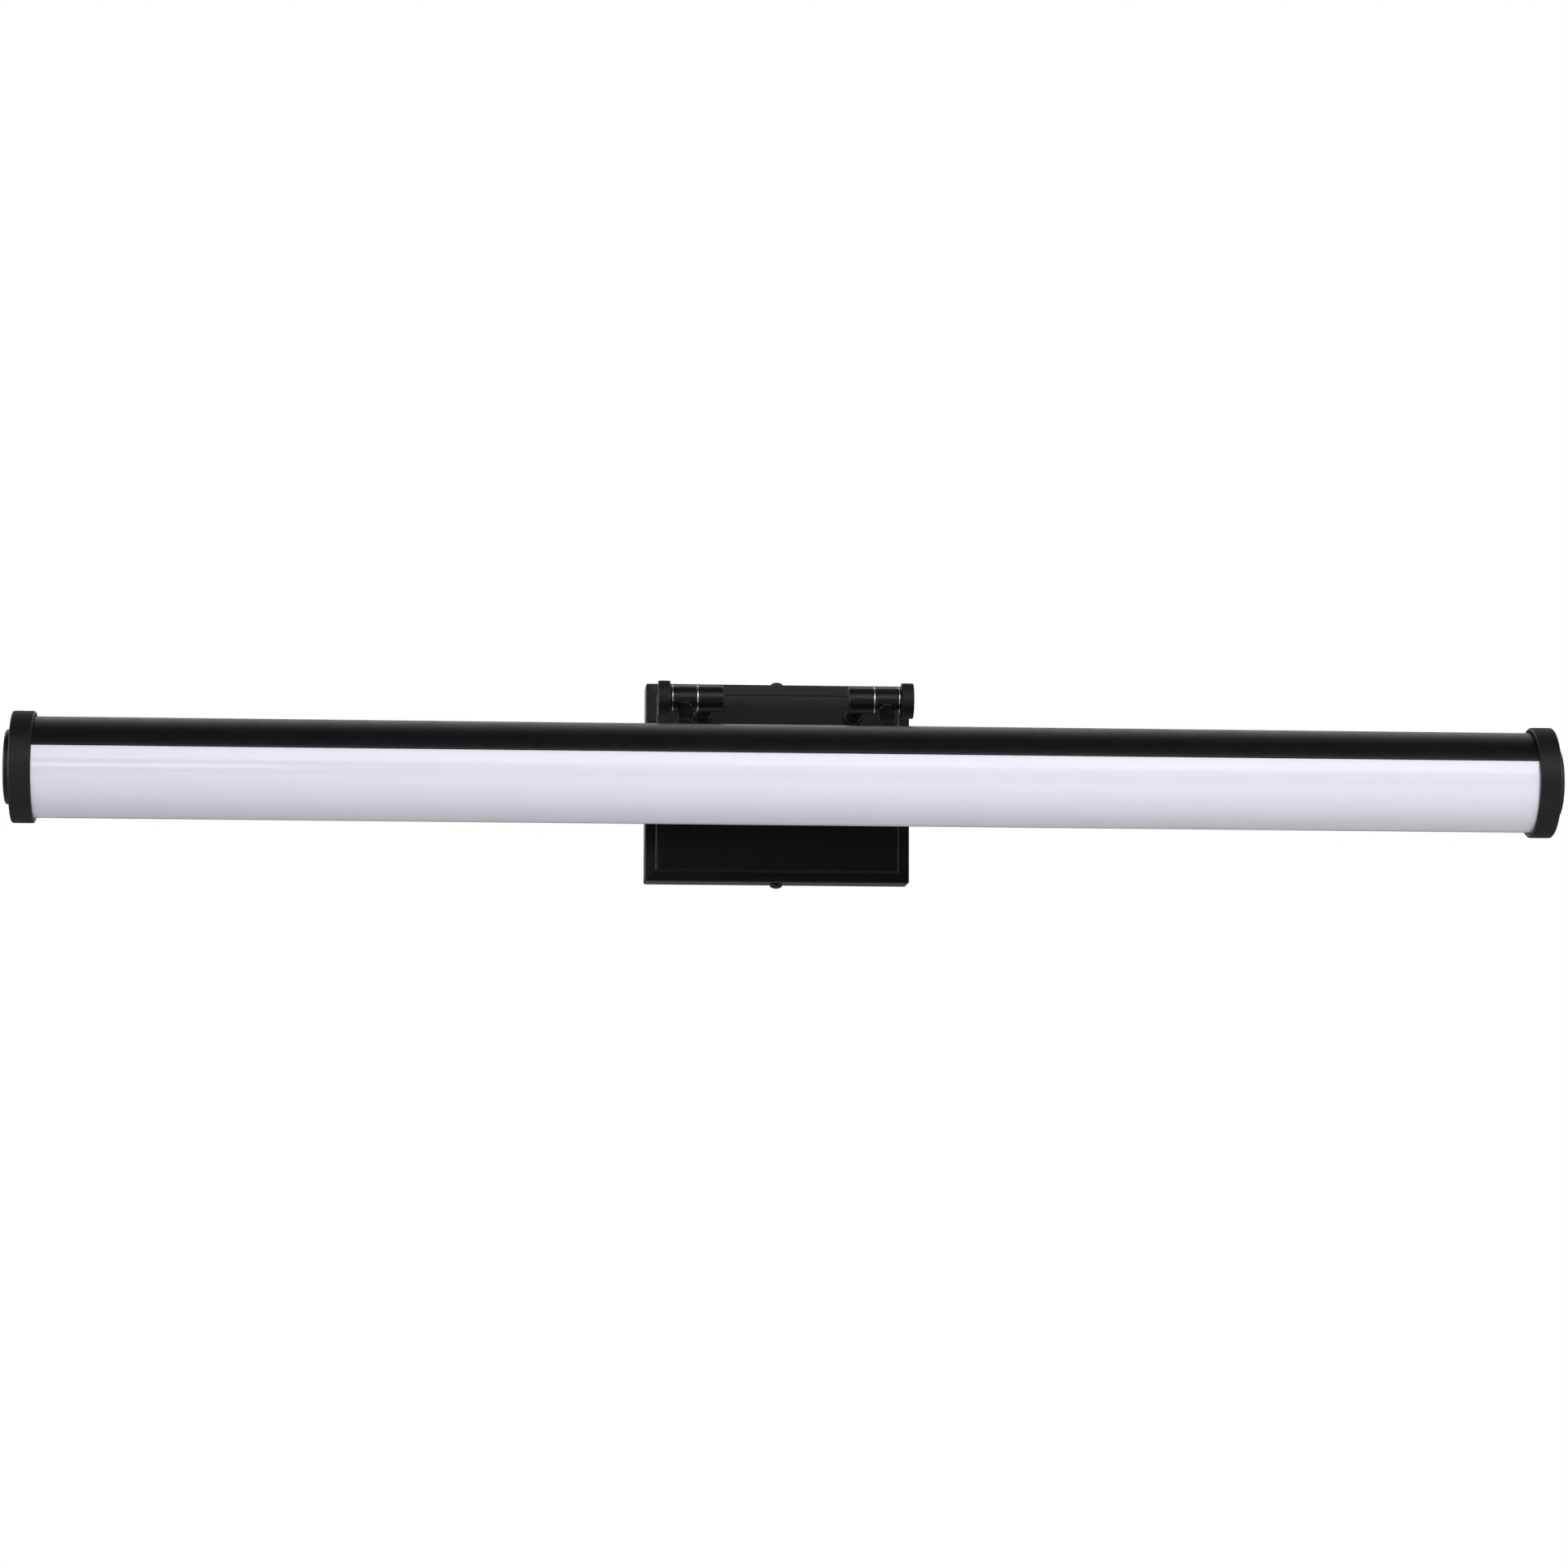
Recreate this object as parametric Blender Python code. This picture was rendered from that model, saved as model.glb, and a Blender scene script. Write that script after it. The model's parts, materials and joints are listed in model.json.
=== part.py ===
"""Wall-mounted LED picture light: a long round lamp tube carried on two swivel knuckles.

Units are metres. +X runs along the lamp, +Z is up, and the wall is the plane y = 0, with the light
standing off it towards -Y. The origin is the centre of the mounting bracket's back face.
Everything right of the plane x = 0 has a mirrored partner on the left, made by the same function.
"""

import math

import bmesh
import bpy
from mathutils import Matrix, Vector

# ---- Driving dimensions -------------------------------------------------------------------

GAP = 0.0003  # between pieces that touch
SLIDE_GAP = 0.0001  # radial clearance of a shaft in its hole

# lamp tube
TUBE_R = 0.0297
TUBE_HALF = 0.4460
TUBE_WALL = 0.0017
HOUSING_HALF_ANGLE = 105.8  # degrees from the tube's back to the seam with the diffuser
RING_R = 0.0329
RING_INNER_X = 0.4415
RING_OUTER_X = 0.4545
DISC_R = 0.0220
DISC_OUTER_X = 0.4585

# tilt axis, which runs along X through both knuckles, and the arm that carries the tube
TILT_Y = -0.1000
TILT_Z = 0.0420
REACH = 0.0610  # tilt axis to tube axis
LEAN = math.radians(36.0)  # how far the front arms lean out from straight down

# knuckles, given as stations along +X
BARREL_R = 0.0080
CHAMBER_R = 0.0062
AXLE_R = 0.00295
REAR_BARREL = (0.0375, 0.0522)
FRONT_BARREL = (0.0536, 0.0673)
FRICTION_WASHER = (0.0525, 0.0533)
KNOB_WASHER = (0.06755, 0.06815)
KNOB = (0.0684, 0.0764)
KNOB_R = 0.0107
KNOB_NECK = 0.0009  # length of the plain hub between the knob and its washer
REAR_ARM_X = 0.0462
ARM_R = 0.00425
ARM_BORE_R = 0.0030
ARM_SEAT = 0.0056  # distance of each arm's end from the tilt axis, inside the barrel's wall
FLANGE_R = 0.0060
NUT_FLATS = 0.0140
NUT_THICK = 0.0030

# canopy
CANOPY_HALF_W = 0.0811
CANOPY_HALF_H = 0.0609
CANOPY_DEPTH = 0.0230
CANOPY_WALL = 0.0012
PANEL_HALF_W = 0.0740
PANEL_HALF_H = 0.0547
PANEL_RISE = 0.00275
SIDE_SCREW_Y = -0.0115

# mounting bracket
STRAP_HALF_W = 0.0140
STRAP_THICK = 0.0020
TAB_Z = 0.0580
TAB_Y = -0.0170

# LED driver, as (low, high) along each axis
DRIVER_X = (-0.0340, 0.0340)
DRIVER_Y = (-0.0232, -0.0080)
DRIVER_Z = (-0.0500, -0.0160)
TERMINAL_Y = (-0.0232, -0.0122)
DRIVER_WALL = 0.0016
DRIVER_POSTS = {"left": (-0.0300, -0.0455), "right": (0.0300, -0.0205)}
DRIVER_EXITS = {"left": (-1, -0.0260), "right": (1, -0.0400)}

# parts inside the lamp tube, in the tube's own frame, whose +Z points at the tilt axis
GROOVE = (-0.0012, 0.0008)
LEDGE_TOP = 0.0022
LOWER_RIB = -0.0024
TRAY = (-0.00095, 0.00055)
TRAY_HALF_W = 0.0265
BOARD = (-0.00245, -0.00125)
BOARD_HALF_W = 0.0130
BOARD_X = (0.0040, 0.4380)
BOSS_Y = 0.0160
BOSS_Z = 0.0046
CHIPS_PER_BOARD = 18

FRONT_ARM_X = (FRONT_BARREL[0] + FRONT_BARREL[1]) / 2
CANOPY_FRONT = -CANOPY_DEPTH - PANEL_RISE
CANOPY_INSIDE = CANOPY_FRONT + CANOPY_WALL
SIDES = {"left": -1, "right": 1}


# ---- Scene, materials and small helpers ----------------------------------------------------


def clear_scene():
    for obj in list(bpy.data.objects):
        bpy.data.objects.remove(obj, do_unlink=True)


def principled(name, colour, roughness, metallic=0.0):
    material = bpy.data.materials.new(name)
    material.use_nodes = True
    shader = material.node_tree.nodes["Principled BSDF"]
    shader.inputs["Base Color"].default_value = (*colour, 1.0)
    shader.inputs["Roughness"].default_value = roughness
    shader.inputs["Metallic"].default_value = metallic
    material.diffuse_color = (*colour, 1.0)
    return material


clear_scene()
BLACK = principled("black_coat", (0.018, 0.018, 0.020), 0.42)
OPAL = principled("opal_diffuser", (0.86, 0.84, 0.92), 0.35)
STEEL = principled("bright_steel", (0.72, 0.72, 0.73), 0.28, 1.0)
ZINC = principled("zinc_plate", (0.62, 0.62, 0.60), 0.42, 1.0)
ALUMINIUM = principled("plain_aluminium", (0.68, 0.69, 0.70), 0.40, 1.0)
BOARD_WHITE = principled("white_board", (0.86, 0.86, 0.84), 0.45)
DRIVER_WHITE = principled("driver_plastic", (0.80, 0.80, 0.78), 0.50)
GREEN_BOARD = principled("green_board", (0.05, 0.25, 0.12), 0.45)
GREEN = principled("ground_green", (0.05, 0.35, 0.12), 0.40, 0.3)
RUBBER = principled("grey_silicone", (0.30, 0.30, 0.31), 0.70)
LEAD = principled("white_lead", (0.75, 0.75, 0.73), 0.45)
PLUG_WHITE = principled("connector_white", (0.82, 0.82, 0.78), 0.45)


def link(name, mesh, material, parent=None, smooth=True):
    obj = bpy.data.objects.new(name, mesh)
    bpy.context.scene.collection.objects.link(obj)
    obj.parent = parent
    if material is not None:
        mesh.materials.append(material)
    if smooth:
        mesh.shade_smooth()
        mesh.set_sharp_from_angle(angle=math.radians(35))
    return obj


def to_mesh(name, bm):
    bmesh.ops.remove_doubles(bm, verts=bm.verts, dist=1e-7)
    bmesh.ops.recalc_face_normals(bm, faces=bm.faces)
    mesh = bpy.data.meshes.new(name)
    bm.to_mesh(mesh)
    bm.free()
    return mesh


def empty(name, location, parent=None, lean=0.0):
    obj = bpy.data.objects.new(name, None)
    bpy.context.scene.collection.objects.link(obj)
    obj.parent = parent
    obj.location = location
    obj.rotation_euler = (lean, 0.0, 0.0)
    return obj


def arc(radius, start, end, steps, centre=(0.0, 0.0)):
    """Points on a circle, at angles in degrees from the second axis towards the first."""
    points = []
    for i in range(steps + 1):
        angle = math.radians(start + (end - start) * i / steps)
        points.append((centre[0] + radius * math.sin(angle), centre[1] + radius * math.cos(angle)))
    return points


def mirrored(half):
    """A closed outline from the half that runs from the middle line out and back to it."""
    other = [(-u, w) for u, w in reversed(half) if abs(u) > 1e-9]
    return half + other


def extruded(name, outline, low, high, material, parent=None, axis="X", smooth=True):
    """A prism along one axis. The outline's pairs are the other two axes, in X, Y, Z order."""
    places = {"X": lambda u, w, t: (t, u, w), "Y": lambda u, w, t: (u, t, w), "Z": lambda u, w, t: (u, w, t)}
    place = places[axis]
    bm = bmesh.new()
    face = bm.faces.new([bm.verts.new(place(u, w, low)) for u, w in outline])
    pushed = bmesh.ops.extrude_face_region(bm, geom=[face])
    shift = Vector(place(0.0, 0.0, high - low))
    moved = [item for item in pushed["geom"] if isinstance(item, bmesh.types.BMVert)]
    bmesh.ops.translate(bm, verts=moved, vec=shift)
    return link(name, to_mesh(name, bm), material, parent, smooth)


def turned(name, profile, material, parent=None, axis="X", segments=24, closed=False):
    """A turned solid. The profile is (station on the axis, radius); it is closed, or ends on the axis."""
    directions = {"X": (Vector((1, 0, 0)), Vector((0, 0, 1))), "Y": (Vector((0, 1, 0)), Vector((0, 0, 1))),
                  "Z": (Vector((0, 0, 1)), Vector((0, 1, 0)))}
    along, out = directions[axis]
    bm = bmesh.new()
    verts = [bm.verts.new(along * station + out * radius) for station, radius in profile]
    edges = [bm.edges.new(pair) for pair in zip(verts, verts[1:])]
    if closed:
        edges.append(bm.edges.new((verts[-1], verts[0])))
    bmesh.ops.spin(bm, geom=verts + edges, cent=(0, 0, 0), axis=along, angle=math.tau,
                   steps=segments, use_merge=True, use_duplicate=False)
    return link(name, to_mesh(name, bm), material, parent)


def ring_prism(name, outer, hole_r, low, high, material, parent=None, axis="Y", points=18):
    """A flat ring whose outer edge is a function of the angle, such as a hexagon or a toothed edge."""
    place = {"Y": lambda u, w, t: (u, t, w), "Z": lambda u, w, t: (u, w, t)}[axis]
    bm = bmesh.new()
    rows = []
    for station in (low, high):
        for edge in (outer, lambda angle: hole_r):
            row = []
            for i in range(points):
                angle = math.tau * i / points
                radius = edge(angle)
                spot = place(radius * math.cos(angle), radius * math.sin(angle), station)
                row.append(bm.verts.new(spot))
            rows.append(row)
    low_outer, low_inner, high_outer, high_inner = rows
    for i in range(points):
        j = (i + 1) % points
        bm.faces.new((low_outer[i], low_outer[j], low_inner[j], low_inner[i]))
        bm.faces.new((high_outer[i], high_outer[j], high_inner[j], high_inner[i]))
        bm.faces.new((low_outer[i], low_outer[j], high_outer[j], high_outer[i]))
        bm.faces.new((low_inner[i], low_inner[j], high_inner[j], high_inner[i]))
    return link(name, to_mesh(name, bm), material, parent)


def around(radius, points):
    """The corner radius of a hole with this many flat sides that clears a shaft of the given radius."""
    return (radius + SLIDE_GAP) / math.cos(math.pi / points)


def hexagon(across_flats):
    return lambda angle: across_flats / 2 / math.cos((angle % (math.pi / 3)) - math.pi / 6)


def toothed(inner, outer, points):
    return lambda angle: outer if round(angle * points / math.tau) % 2 else inner


def block(name, low, high, material, parent=None):
    """A rectangular block between two corners, its edges left square."""
    outline = [(low[0], low[1]), (high[0], low[1]), (high[0], high[1]), (low[0], high[1])]
    return extruded(name, outline, low[2], high[2], material, parent, axis="Z", smooth=False)


def rod(name, centre, radius, low, high, axis, segments=24):
    """A plain rod, used as a drill or joined to another solid. Its centre is on the other two axes."""
    profile = [(low, 0.0), (low, radius), (high, radius), (high, 0.0)]
    obj = turned(name, profile, None, axis=axis, segments=segments)
    obj.location = {"X": (0, *centre), "Y": (centre[0], 0, centre[1]), "Z": (*centre, 0)}[axis]
    return obj


def combine(target, tool, operation):
    tool.hide_render = True
    tool.display_type = "WIRE"
    tool.parent = target.parent
    modifier = target.modifiers.new(tool.name, "BOOLEAN")
    modifier.operation = operation
    modifier.solver = "EXACT"
    modifier.object = tool


def cut(target, tool):
    combine(target, tool, "DIFFERENCE")


def join(target, tool):
    combine(target, tool, "UNION")


def lead(name, points, radius, parent=None):
    """A round wire along a smooth line through the given points."""
    knots = [Vector(p) for p in points]
    ends = [2 * knots[0] - knots[1], *knots, 2 * knots[-1] - knots[-2]]
    line = []
    steps = 3
    for before, a, b, after in zip(ends, ends[1:], ends[2:], ends[3:]):
        for i in range(steps):
            t = i / steps
            line.append(0.5 * (2 * a + (b - before) * t + (2 * before - 5 * a + 4 * b - after) * t**2
                               + (3 * a - before - 3 * b + after) * t**3))
    line.append(knots[-1])
    curve = bpy.data.curves.new(name, "CURVE")
    curve.dimensions = "3D"
    curve.bevel_depth = radius
    curve.bevel_resolution = 1
    curve.use_fill_caps = True
    spline = curve.splines.new("POLY")
    spline.points.add(len(line) - 1)
    for point, place in zip(spline.points, line):
        point.co = (*place, 1.0)
    curve.materials.append(LEAD)
    obj = bpy.data.objects.new(name, curve)
    bpy.context.scene.collection.objects.link(obj)
    obj.parent = parent
    return obj


# ---- Wall side: bracket, canopy and what is inside it --------------------------------------


def make_bracket():
    """A steel strap on the wall, with a tab bent forward at each end for the canopy's side screws."""
    inner_r = 0.0010
    outer_r = inner_r + STRAP_THICK
    bend_y = -outer_r
    bend_z = TAB_Z - outer_r
    half = [(0.0, 0.0), (0.0, bend_z)]
    half += [(bend_y + outer_r * math.cos(a), bend_z + outer_r * math.sin(a))
             for a in (math.pi / 6, math.pi / 3, math.pi / 2)]
    half += [(TAB_Y, TAB_Z), (TAB_Y, TAB_Z - STRAP_THICK), (bend_y, TAB_Z - STRAP_THICK)]
    half += [(bend_y + inner_r * math.cos(a), bend_z + inner_r * math.sin(a))
             for a in (math.pi / 4, 0.0)]
    half += [(-STRAP_THICK, 0.0)]
    outline = half[1:-1] + [(y, -z) for y, z in reversed(half[1:-1])]
    bracket = extruded("mounting_bracket", outline, -STRAP_HALF_W, STRAP_HALF_W, ZINC, smooth=False)
    slot_r = 0.0026
    slot_reach = 0.0065
    for z in (-0.0395, 0.0395):
        ends = arc(slot_r, -90, 90, 6, (0.0, z + slot_reach))
        ends += arc(slot_r, 90, 270, 6, (0.0, z - slot_reach))
        cut(bracket, extruded("slot_tool", ends, -0.004, 0.001, None, axis="Y"))
        screw_z = math.copysign(TAB_Z, z)
        low, high = sorted((screw_z - math.copysign(0.004, z),
                            screw_z + math.copysign(0.002, z)))
        cut(bracket, rod("tab_tool", (0.0, SIDE_SCREW_Y), 0.0021, low, high, "Z", segments=16))
    cut(bracket, rod("ground_tool", (0.0, 0.0180), 0.0019, -0.004, 0.001, "Y", segments=16))

    head = [(-0.0002, 0.0), (-0.0002, 0.0017), (-0.0023, 0.0017), (-0.0023, 0.0044), (-0.0029, 0.0044),
            (-0.0029, 0.0034), (-0.0052, 0.0032), (-0.0052, 0.0)]
    screw = turned("ground_screw", head, GREEN, axis="Y", segments=12)
    screw.location = (0.0, 0.0, 0.0180)
    cut(screw, block("ground_slot_tool", (-0.005, -0.0060, 0.0176), (0.005, -0.0044, 0.0184), None))


def rounded_rectangle(half_w, half_h, corner, y):
    points = []
    for k, (sx, sz) in enumerate(((1, 1), (1, -1), (-1, -1), (-1, 1))):
        centre = (sx * (half_w - corner), sz * (half_h - corner))
        points += [(u, y, w) for u, w in arc(corner, 90 * k, 90 * k + 90, 2, centre)]
    return points


def make_canopy():
    """A pressed pan, open to the wall, whose front steps up to a flat raised panel."""
    face = -CANOPY_DEPTH
    step_foot = 0.0020
    edge = 0.0015
    outside = [(CANOPY_HALF_W, CANOPY_HALF_H, -GAP),
               (CANOPY_HALF_W, CANOPY_HALF_H, face + edge),
               (CANOPY_HALF_W - edge * 0.3, CANOPY_HALF_H - edge * 0.3, face + edge * 0.3),
               (CANOPY_HALF_W - edge, CANOPY_HALF_H - edge, face),
               (PANEL_HALF_W + step_foot, PANEL_HALF_H + step_foot, face),
               (PANEL_HALF_W + step_foot * 0.3, PANEL_HALF_H + step_foot * 0.3, face - PANEL_RISE * 0.25),
               (PANEL_HALF_W, PANEL_HALF_H, face - PANEL_RISE * 0.7),
               (PANEL_HALF_W - 0.0010, PANEL_HALF_H - 0.0010, face - PANEL_RISE)]
    wall = CANOPY_WALL
    inside = [(PANEL_HALF_W - wall, PANEL_HALF_H - wall, CANOPY_INSIDE),
              (PANEL_HALF_W - wall, PANEL_HALF_H - wall, face + wall),
              (CANOPY_HALF_W - wall, CANOPY_HALF_H - wall, face + wall),
              (CANOPY_HALF_W - wall, CANOPY_HALF_H - wall, -GAP)]
    corner = 0.0020
    bm = bmesh.new()
    loops = []
    for half_w, half_h, y in outside + inside:
        inset = CANOPY_HALF_W - half_w
        points = rounded_rectangle(half_w, half_h, max(corner - inset * 0.25, 0.0008), y)
        loops.append([bm.verts.new(p) for p in points])
    for a, b in zip(loops, loops[1:] + loops[:1]):
        if a is loops[len(outside) - 1]:
            continue
        for i in range(len(a)):
            j = (i + 1) % len(a)
            bm.faces.new((a[i], a[j], b[j], b[i]))
    bm.faces.new(loops[len(outside) - 1])
    bm.faces.new(loops[len(outside)])
    canopy = link("canopy", to_mesh("canopy", bm), BLACK)
    for side, sign in SIDES.items():
        hole = rod("arm_hole_" + side, (sign * REAR_ARM_X, TILT_Z), ARM_R + 0.0002,
                   CANOPY_FRONT - 0.002, CANOPY_INSIDE + 0.002, "Y")
        cut(canopy, hole)
    for where, sign in (("top", 1), ("bottom", -1)):
        low, high = sorted((sign * (CANOPY_HALF_H - 0.003), sign * (CANOPY_HALF_H + 0.002)))
        cut(canopy, rod("screw_hole_" + where, (0.0, SIDE_SCREW_Y), 0.0023, low, high, "Z",
                        segments=16))
        make_canopy_screw("canopy_screw_" + where, sign)


def make_canopy_screw(name, sign):
    """A domed thumb screw through the canopy's edge into the bracket's tab."""
    under = CANOPY_HALF_H + GAP
    shank = 0.0020
    end = under - 0.0076
    head = 0.0038
    profile = [(end, 0.0), (end, shank - 0.0004), (end + 0.0004, shank), (under, shank),
               (under, head - 0.0004), (under + 0.0004, head), (under + 0.0011, head),
               (under + 0.0019, 0.0031), (under + 0.0024, 0.0018), (under + 0.0026, 0.0)]
    screw = turned(name, [(sign * z, r) for z, r in profile], BLACK, axis="Z", segments=16)
    screw.location = (0.0, SIDE_SCREW_Y, 0.0)


def make_driver():
    """The LED driver: a plastic case open to the back, its circuit board, a lid and two screws."""
    (x0, x1), (y0, y1), (z0, z1) = DRIVER_X, DRIVER_Y, DRIVER_Z
    wall = DRIVER_WALL
    case = block("driver_case", (x0, y0, z0), (x1, y1, z1), DRIVER_WHITE)
    cut(case, block("case_hollow", (x0 + wall, y0 + wall, z0 + wall),
                    (x1 - wall, y1 + 0.002, z1 - wall), None))
    for side, (x, z) in DRIVER_POSTS.items():
        join(case, rod("post_" + side, (x, z), 0.0030, y0 + wall / 2, y1, "Y", segments=16))
        cut(case, rod("post_hole_" + side, (x, z), 0.0012, y1 - 0.009, y1 + 0.001, "Y", segments=12))
    for side, (sign, z) in DRIVER_EXITS.items():
        edge = sign * x1
        low, high = sorted((edge - sign * 0.003, edge + sign * 0.001))
        cut(case, rod("exit_" + side, (-0.0130, z), 0.0016, low, high, "X", segments=12))

    lid_low = y1 + GAP
    lid = block("driver_lid", (x0, lid_low, z0), (x1, lid_low + 0.0014, z1), DRIVER_WHITE)
    for side, (x, z) in DRIVER_POSTS.items():
        cut(lid, rod("lid_hole_" + side, (x, z), 0.0013, lid_low - 0.001, lid_low + 0.003, "Y",
                     segments=12))
        top = lid_low + 0.0014 + GAP
        tip = top - 0.0085
        profile = [(tip, 0.0), (tip, 0.0006), (tip + 0.0010, 0.0010), (top, 0.0010), (top, 0.0022),
                   (top + 0.0005, 0.0022), (top + 0.0011, 0.0013), (top + 0.0011, 0.0)]
        screw = turned("driver_screw_" + side, profile, ZINC, axis="Y", segments=12)
        screw.location = (x, 0.0, z)

    board_top = y0 + wall + 0.0020
    board = block("driver_board", (-0.0255, board_top - 0.0014, z0 + 0.0026),
                  (0.0255, board_top, z1 - 0.0026), GREEN_BOARD)
    base = board_top - 0.0005
    transformer = block("transformer", (-0.0080, base, -0.0420), (0.0080, base + 0.0110, -0.0260), None)
    choke = block("choke", (-0.0225, base, -0.0285), (-0.0125, base + 0.0080, -0.0205), None)
    join(board, transformer)
    join(board, choke)
    for name, centre, radius in (("input_capacitor", (-0.0170, -0.0380), 0.0045),
                                 ("output_capacitor", (0.0165, -0.0300), 0.0050)):
        join(board, rod(name, centre, radius, base, base + 0.0105, "Y", segments=16))


def make_pads():
    """Foam tape that holds the driver and the terminal block to the inside of the canopy."""
    pads = (("driver_pad", (-0.0260, -0.0440), (0.0260, -0.0220), DRIVER_Y[0]),
            ("terminal_pad", (-0.0100, 0.0080), (0.0100, 0.0190), TERMINAL_Y[0]))
    for name, low, high, top in pads:
        block(name, (low[0], CANOPY_INSIDE + GAP, low[1]), (high[0], top - GAP, high[1]), RUBBER)


def make_terminal_block():
    """A three-way terminal block for the supply wires, its screws reached from the back."""
    low, high = (-0.0120, TERMINAL_Y[0], 0.0060), (0.0120, TERMINAL_Y[1], 0.0210)
    terminals = block("terminal_block", low, high, PLUG_WHITE)
    entry = 0.0055
    for i in range(3):
        x = (i - 1) * 0.0080
        tools = (("terminal_well", (x, 0.0135), 0.0021, high[1] - 0.0030, high[1] + 0.001, "Y"),
                 ("terminal_entry", (x, -0.0178), 0.0016, low[2] - 0.001, low[2] + entry, "Z"),
                 ("supply_entry", (x, -0.0178), 0.0016, high[2] - entry, high[2] + 0.001, "Z"))
        for name, centre, radius, start, end, axis in tools:
            cut(terminals, rod(f"{name}_{i}", centre, radius, start, end, axis, segments=10))


def make_wall_side_leads():
    """The two fixed leads in the canopy, and on through the right rear arm to its knuckle."""
    x0, x1 = DRIVER_X
    exit_y = -0.0130
    left_z = DRIVER_EXITS["left"][1]
    right_z = DRIVER_EXITS["right"][1]
    route = [(x0 + 0.0022, exit_y, left_z), (x0 - 0.0040, exit_y, left_z),
             (x0 - 0.0060, -0.0145, left_z + 0.0100), (-0.0250, -0.0170, -0.0090),
             (-0.0110, -0.0178, -0.0040), (-0.0080, -0.0178, 0.0020), (-0.0080, -0.0178, 0.0105)]
    lead("input_lead", route, 0.0010)
    pass_y = TILT_Y + 0.0043
    route = [(x1 - 0.0022, exit_y, right_z), (x1 + 0.0070, exit_y, right_z),
             (x1 + 0.0150, exit_y, right_z + 0.0160), (x1 + 0.0150, -0.0120, 0.0200),
             (REAR_ARM_X + 0.0010, -0.0120, TILT_Z - 0.0040)]
    route += [(REAR_ARM_X, y, TILT_Z) for y in (-0.0190, -0.0400, -0.0650, -0.0880, pass_y + 0.0030)]
    route += [(REAR_ARM_X + 0.0024, pass_y + 0.0002, TILT_Z), (0.0504, pass_y, TILT_Z),
              (0.0520, pass_y, TILT_Z)]
    lead("driver_lead", route, 0.0009)


def tube_profile(low, high):
    return [(low, ARM_BORE_R), (low, ARM_R), (high, ARM_R), (high, ARM_BORE_R)]


def make_rear_side(side, sign):
    """Everything between the canopy and the tilt axis on one side. None of it tilts."""
    at_arm = (sign * REAR_ARM_X, 0.0, TILT_Z)

    arm_end = TILT_Y + ARM_SEAT
    arm = turned("rear_arm_" + side, tube_profile(arm_end, CANOPY_INSIDE + 0.0062), BLACK,
                 axis="Y", segments=20, closed=True)
    arm.location = at_arm

    back = CANOPY_FRONT - GAP
    bore = around(ARM_R, 24)
    profile = [(back, bore), (back, FLANGE_R), (back - 0.0015, FLANGE_R),
               (back - 0.0024, FLANGE_R - 0.0006), (back - 0.0024, bore)]
    flange = turned("rear_flange_" + side, profile, BLACK, axis="Y", segments=24, closed=True)
    flange.location = at_arm

    washer_low = CANOPY_INSIDE + GAP
    washer_high = washer_low + 0.0006
    washer = ring_prism("rear_lock_washer_" + side, toothed(0.0070, 0.0082, 20), around(ARM_R, 20),
                        washer_low, washer_high, ZINC, points=20)
    nut_low = washer_high + GAP
    nut = ring_prism("rear_nut_" + side, hexagon(NUT_FLATS), around(ARM_R, 18), nut_low,
                     nut_low + NUT_THICK, ZINC)
    for obj in (washer, nut):
        obj.location = at_arm

    low, high = REAR_BARREL
    seat = low + 0.0014
    wall = low + 0.0049
    chamfer = 0.0005
    bore = around(AXLE_R, 24)
    profile = [(low, 0.0), (low, BARREL_R - chamfer), (low + chamfer, BARREL_R),
               (high - chamfer, BARREL_R), (high, BARREL_R - chamfer), (high, CHAMBER_R),
               (wall, CHAMBER_R), (wall, bore), (seat, bore), (seat, 0.0)]
    barrel = on_axis("rear_barrel_" + side, sign, profile, BLACK, segments=24)
    cut(barrel, rod("rear_barrel_hole_" + side, (sign * REAR_ARM_X, TILT_Z), around(ARM_R, 20),
                    TILT_Y, TILT_Y + BARREL_R + 0.002, "Y", segments=20))

    tip = KNOB[1] - 0.0016
    profile = [(seat + 0.0002, 0.0), (seat + 0.0002, AXLE_R - 0.0004), (seat + 0.0006, AXLE_R),
               (tip - 0.0004, AXLE_R), (tip, AXLE_R - 0.0004), (tip, 0.0)]
    on_axis("axle_" + side, sign, profile, STEEL, segments=24)
    low, high = FRICTION_WASHER
    washer_r = BARREL_R - 0.0001
    profile = [(low, CHAMBER_R), (low, washer_r), (high, washer_r), (high, CHAMBER_R)]
    on_axis("friction_washer_" + side, sign, profile, STEEL, segments=24, closed=True)


def on_axis(name, sign, profile, material, segments, closed=False):
    """A turned piece on the tilt axis, with its own origin there."""
    obj = turned(name, [(sign * x, r) for x, r in profile], material, segments=segments, closed=closed)
    obj.location = (0.0, TILT_Y, TILT_Z)
    return obj


def make_knob(side, sign):
    """The clamp knob, which screws onto the axle, and the washer under its plain hub."""
    low, high = KNOB
    floor = high - 0.0013
    bore = around(AXLE_R, 32)
    shoulder = low + KNOB_NECK
    profile = [(high, 0.0), (high, KNOB_R - 0.0008), (high - 0.0008, KNOB_R), (shoulder + 0.0004, KNOB_R),
               (shoulder, KNOB_R - 0.0004), (shoulder, BARREL_R - 0.0004), (low, BARREL_R - 0.0004),
               (low, bore), (floor, bore), (floor, 0.0)]
    on_axis("knob_" + side, sign, profile, BLACK, segments=32)
    low, high = KNOB_WASHER
    bore = around(AXLE_R, 24) + SLIDE_GAP
    profile = [(low, bore), (low, BARREL_R - 0.0001), (high, BARREL_R - 0.0001), (high, bore)]
    on_axis("knob_washer_" + side, sign, profile, STEEL, segments=24, closed=True)


# ---- Lamp side: everything that tilts ------------------------------------------------------


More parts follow.
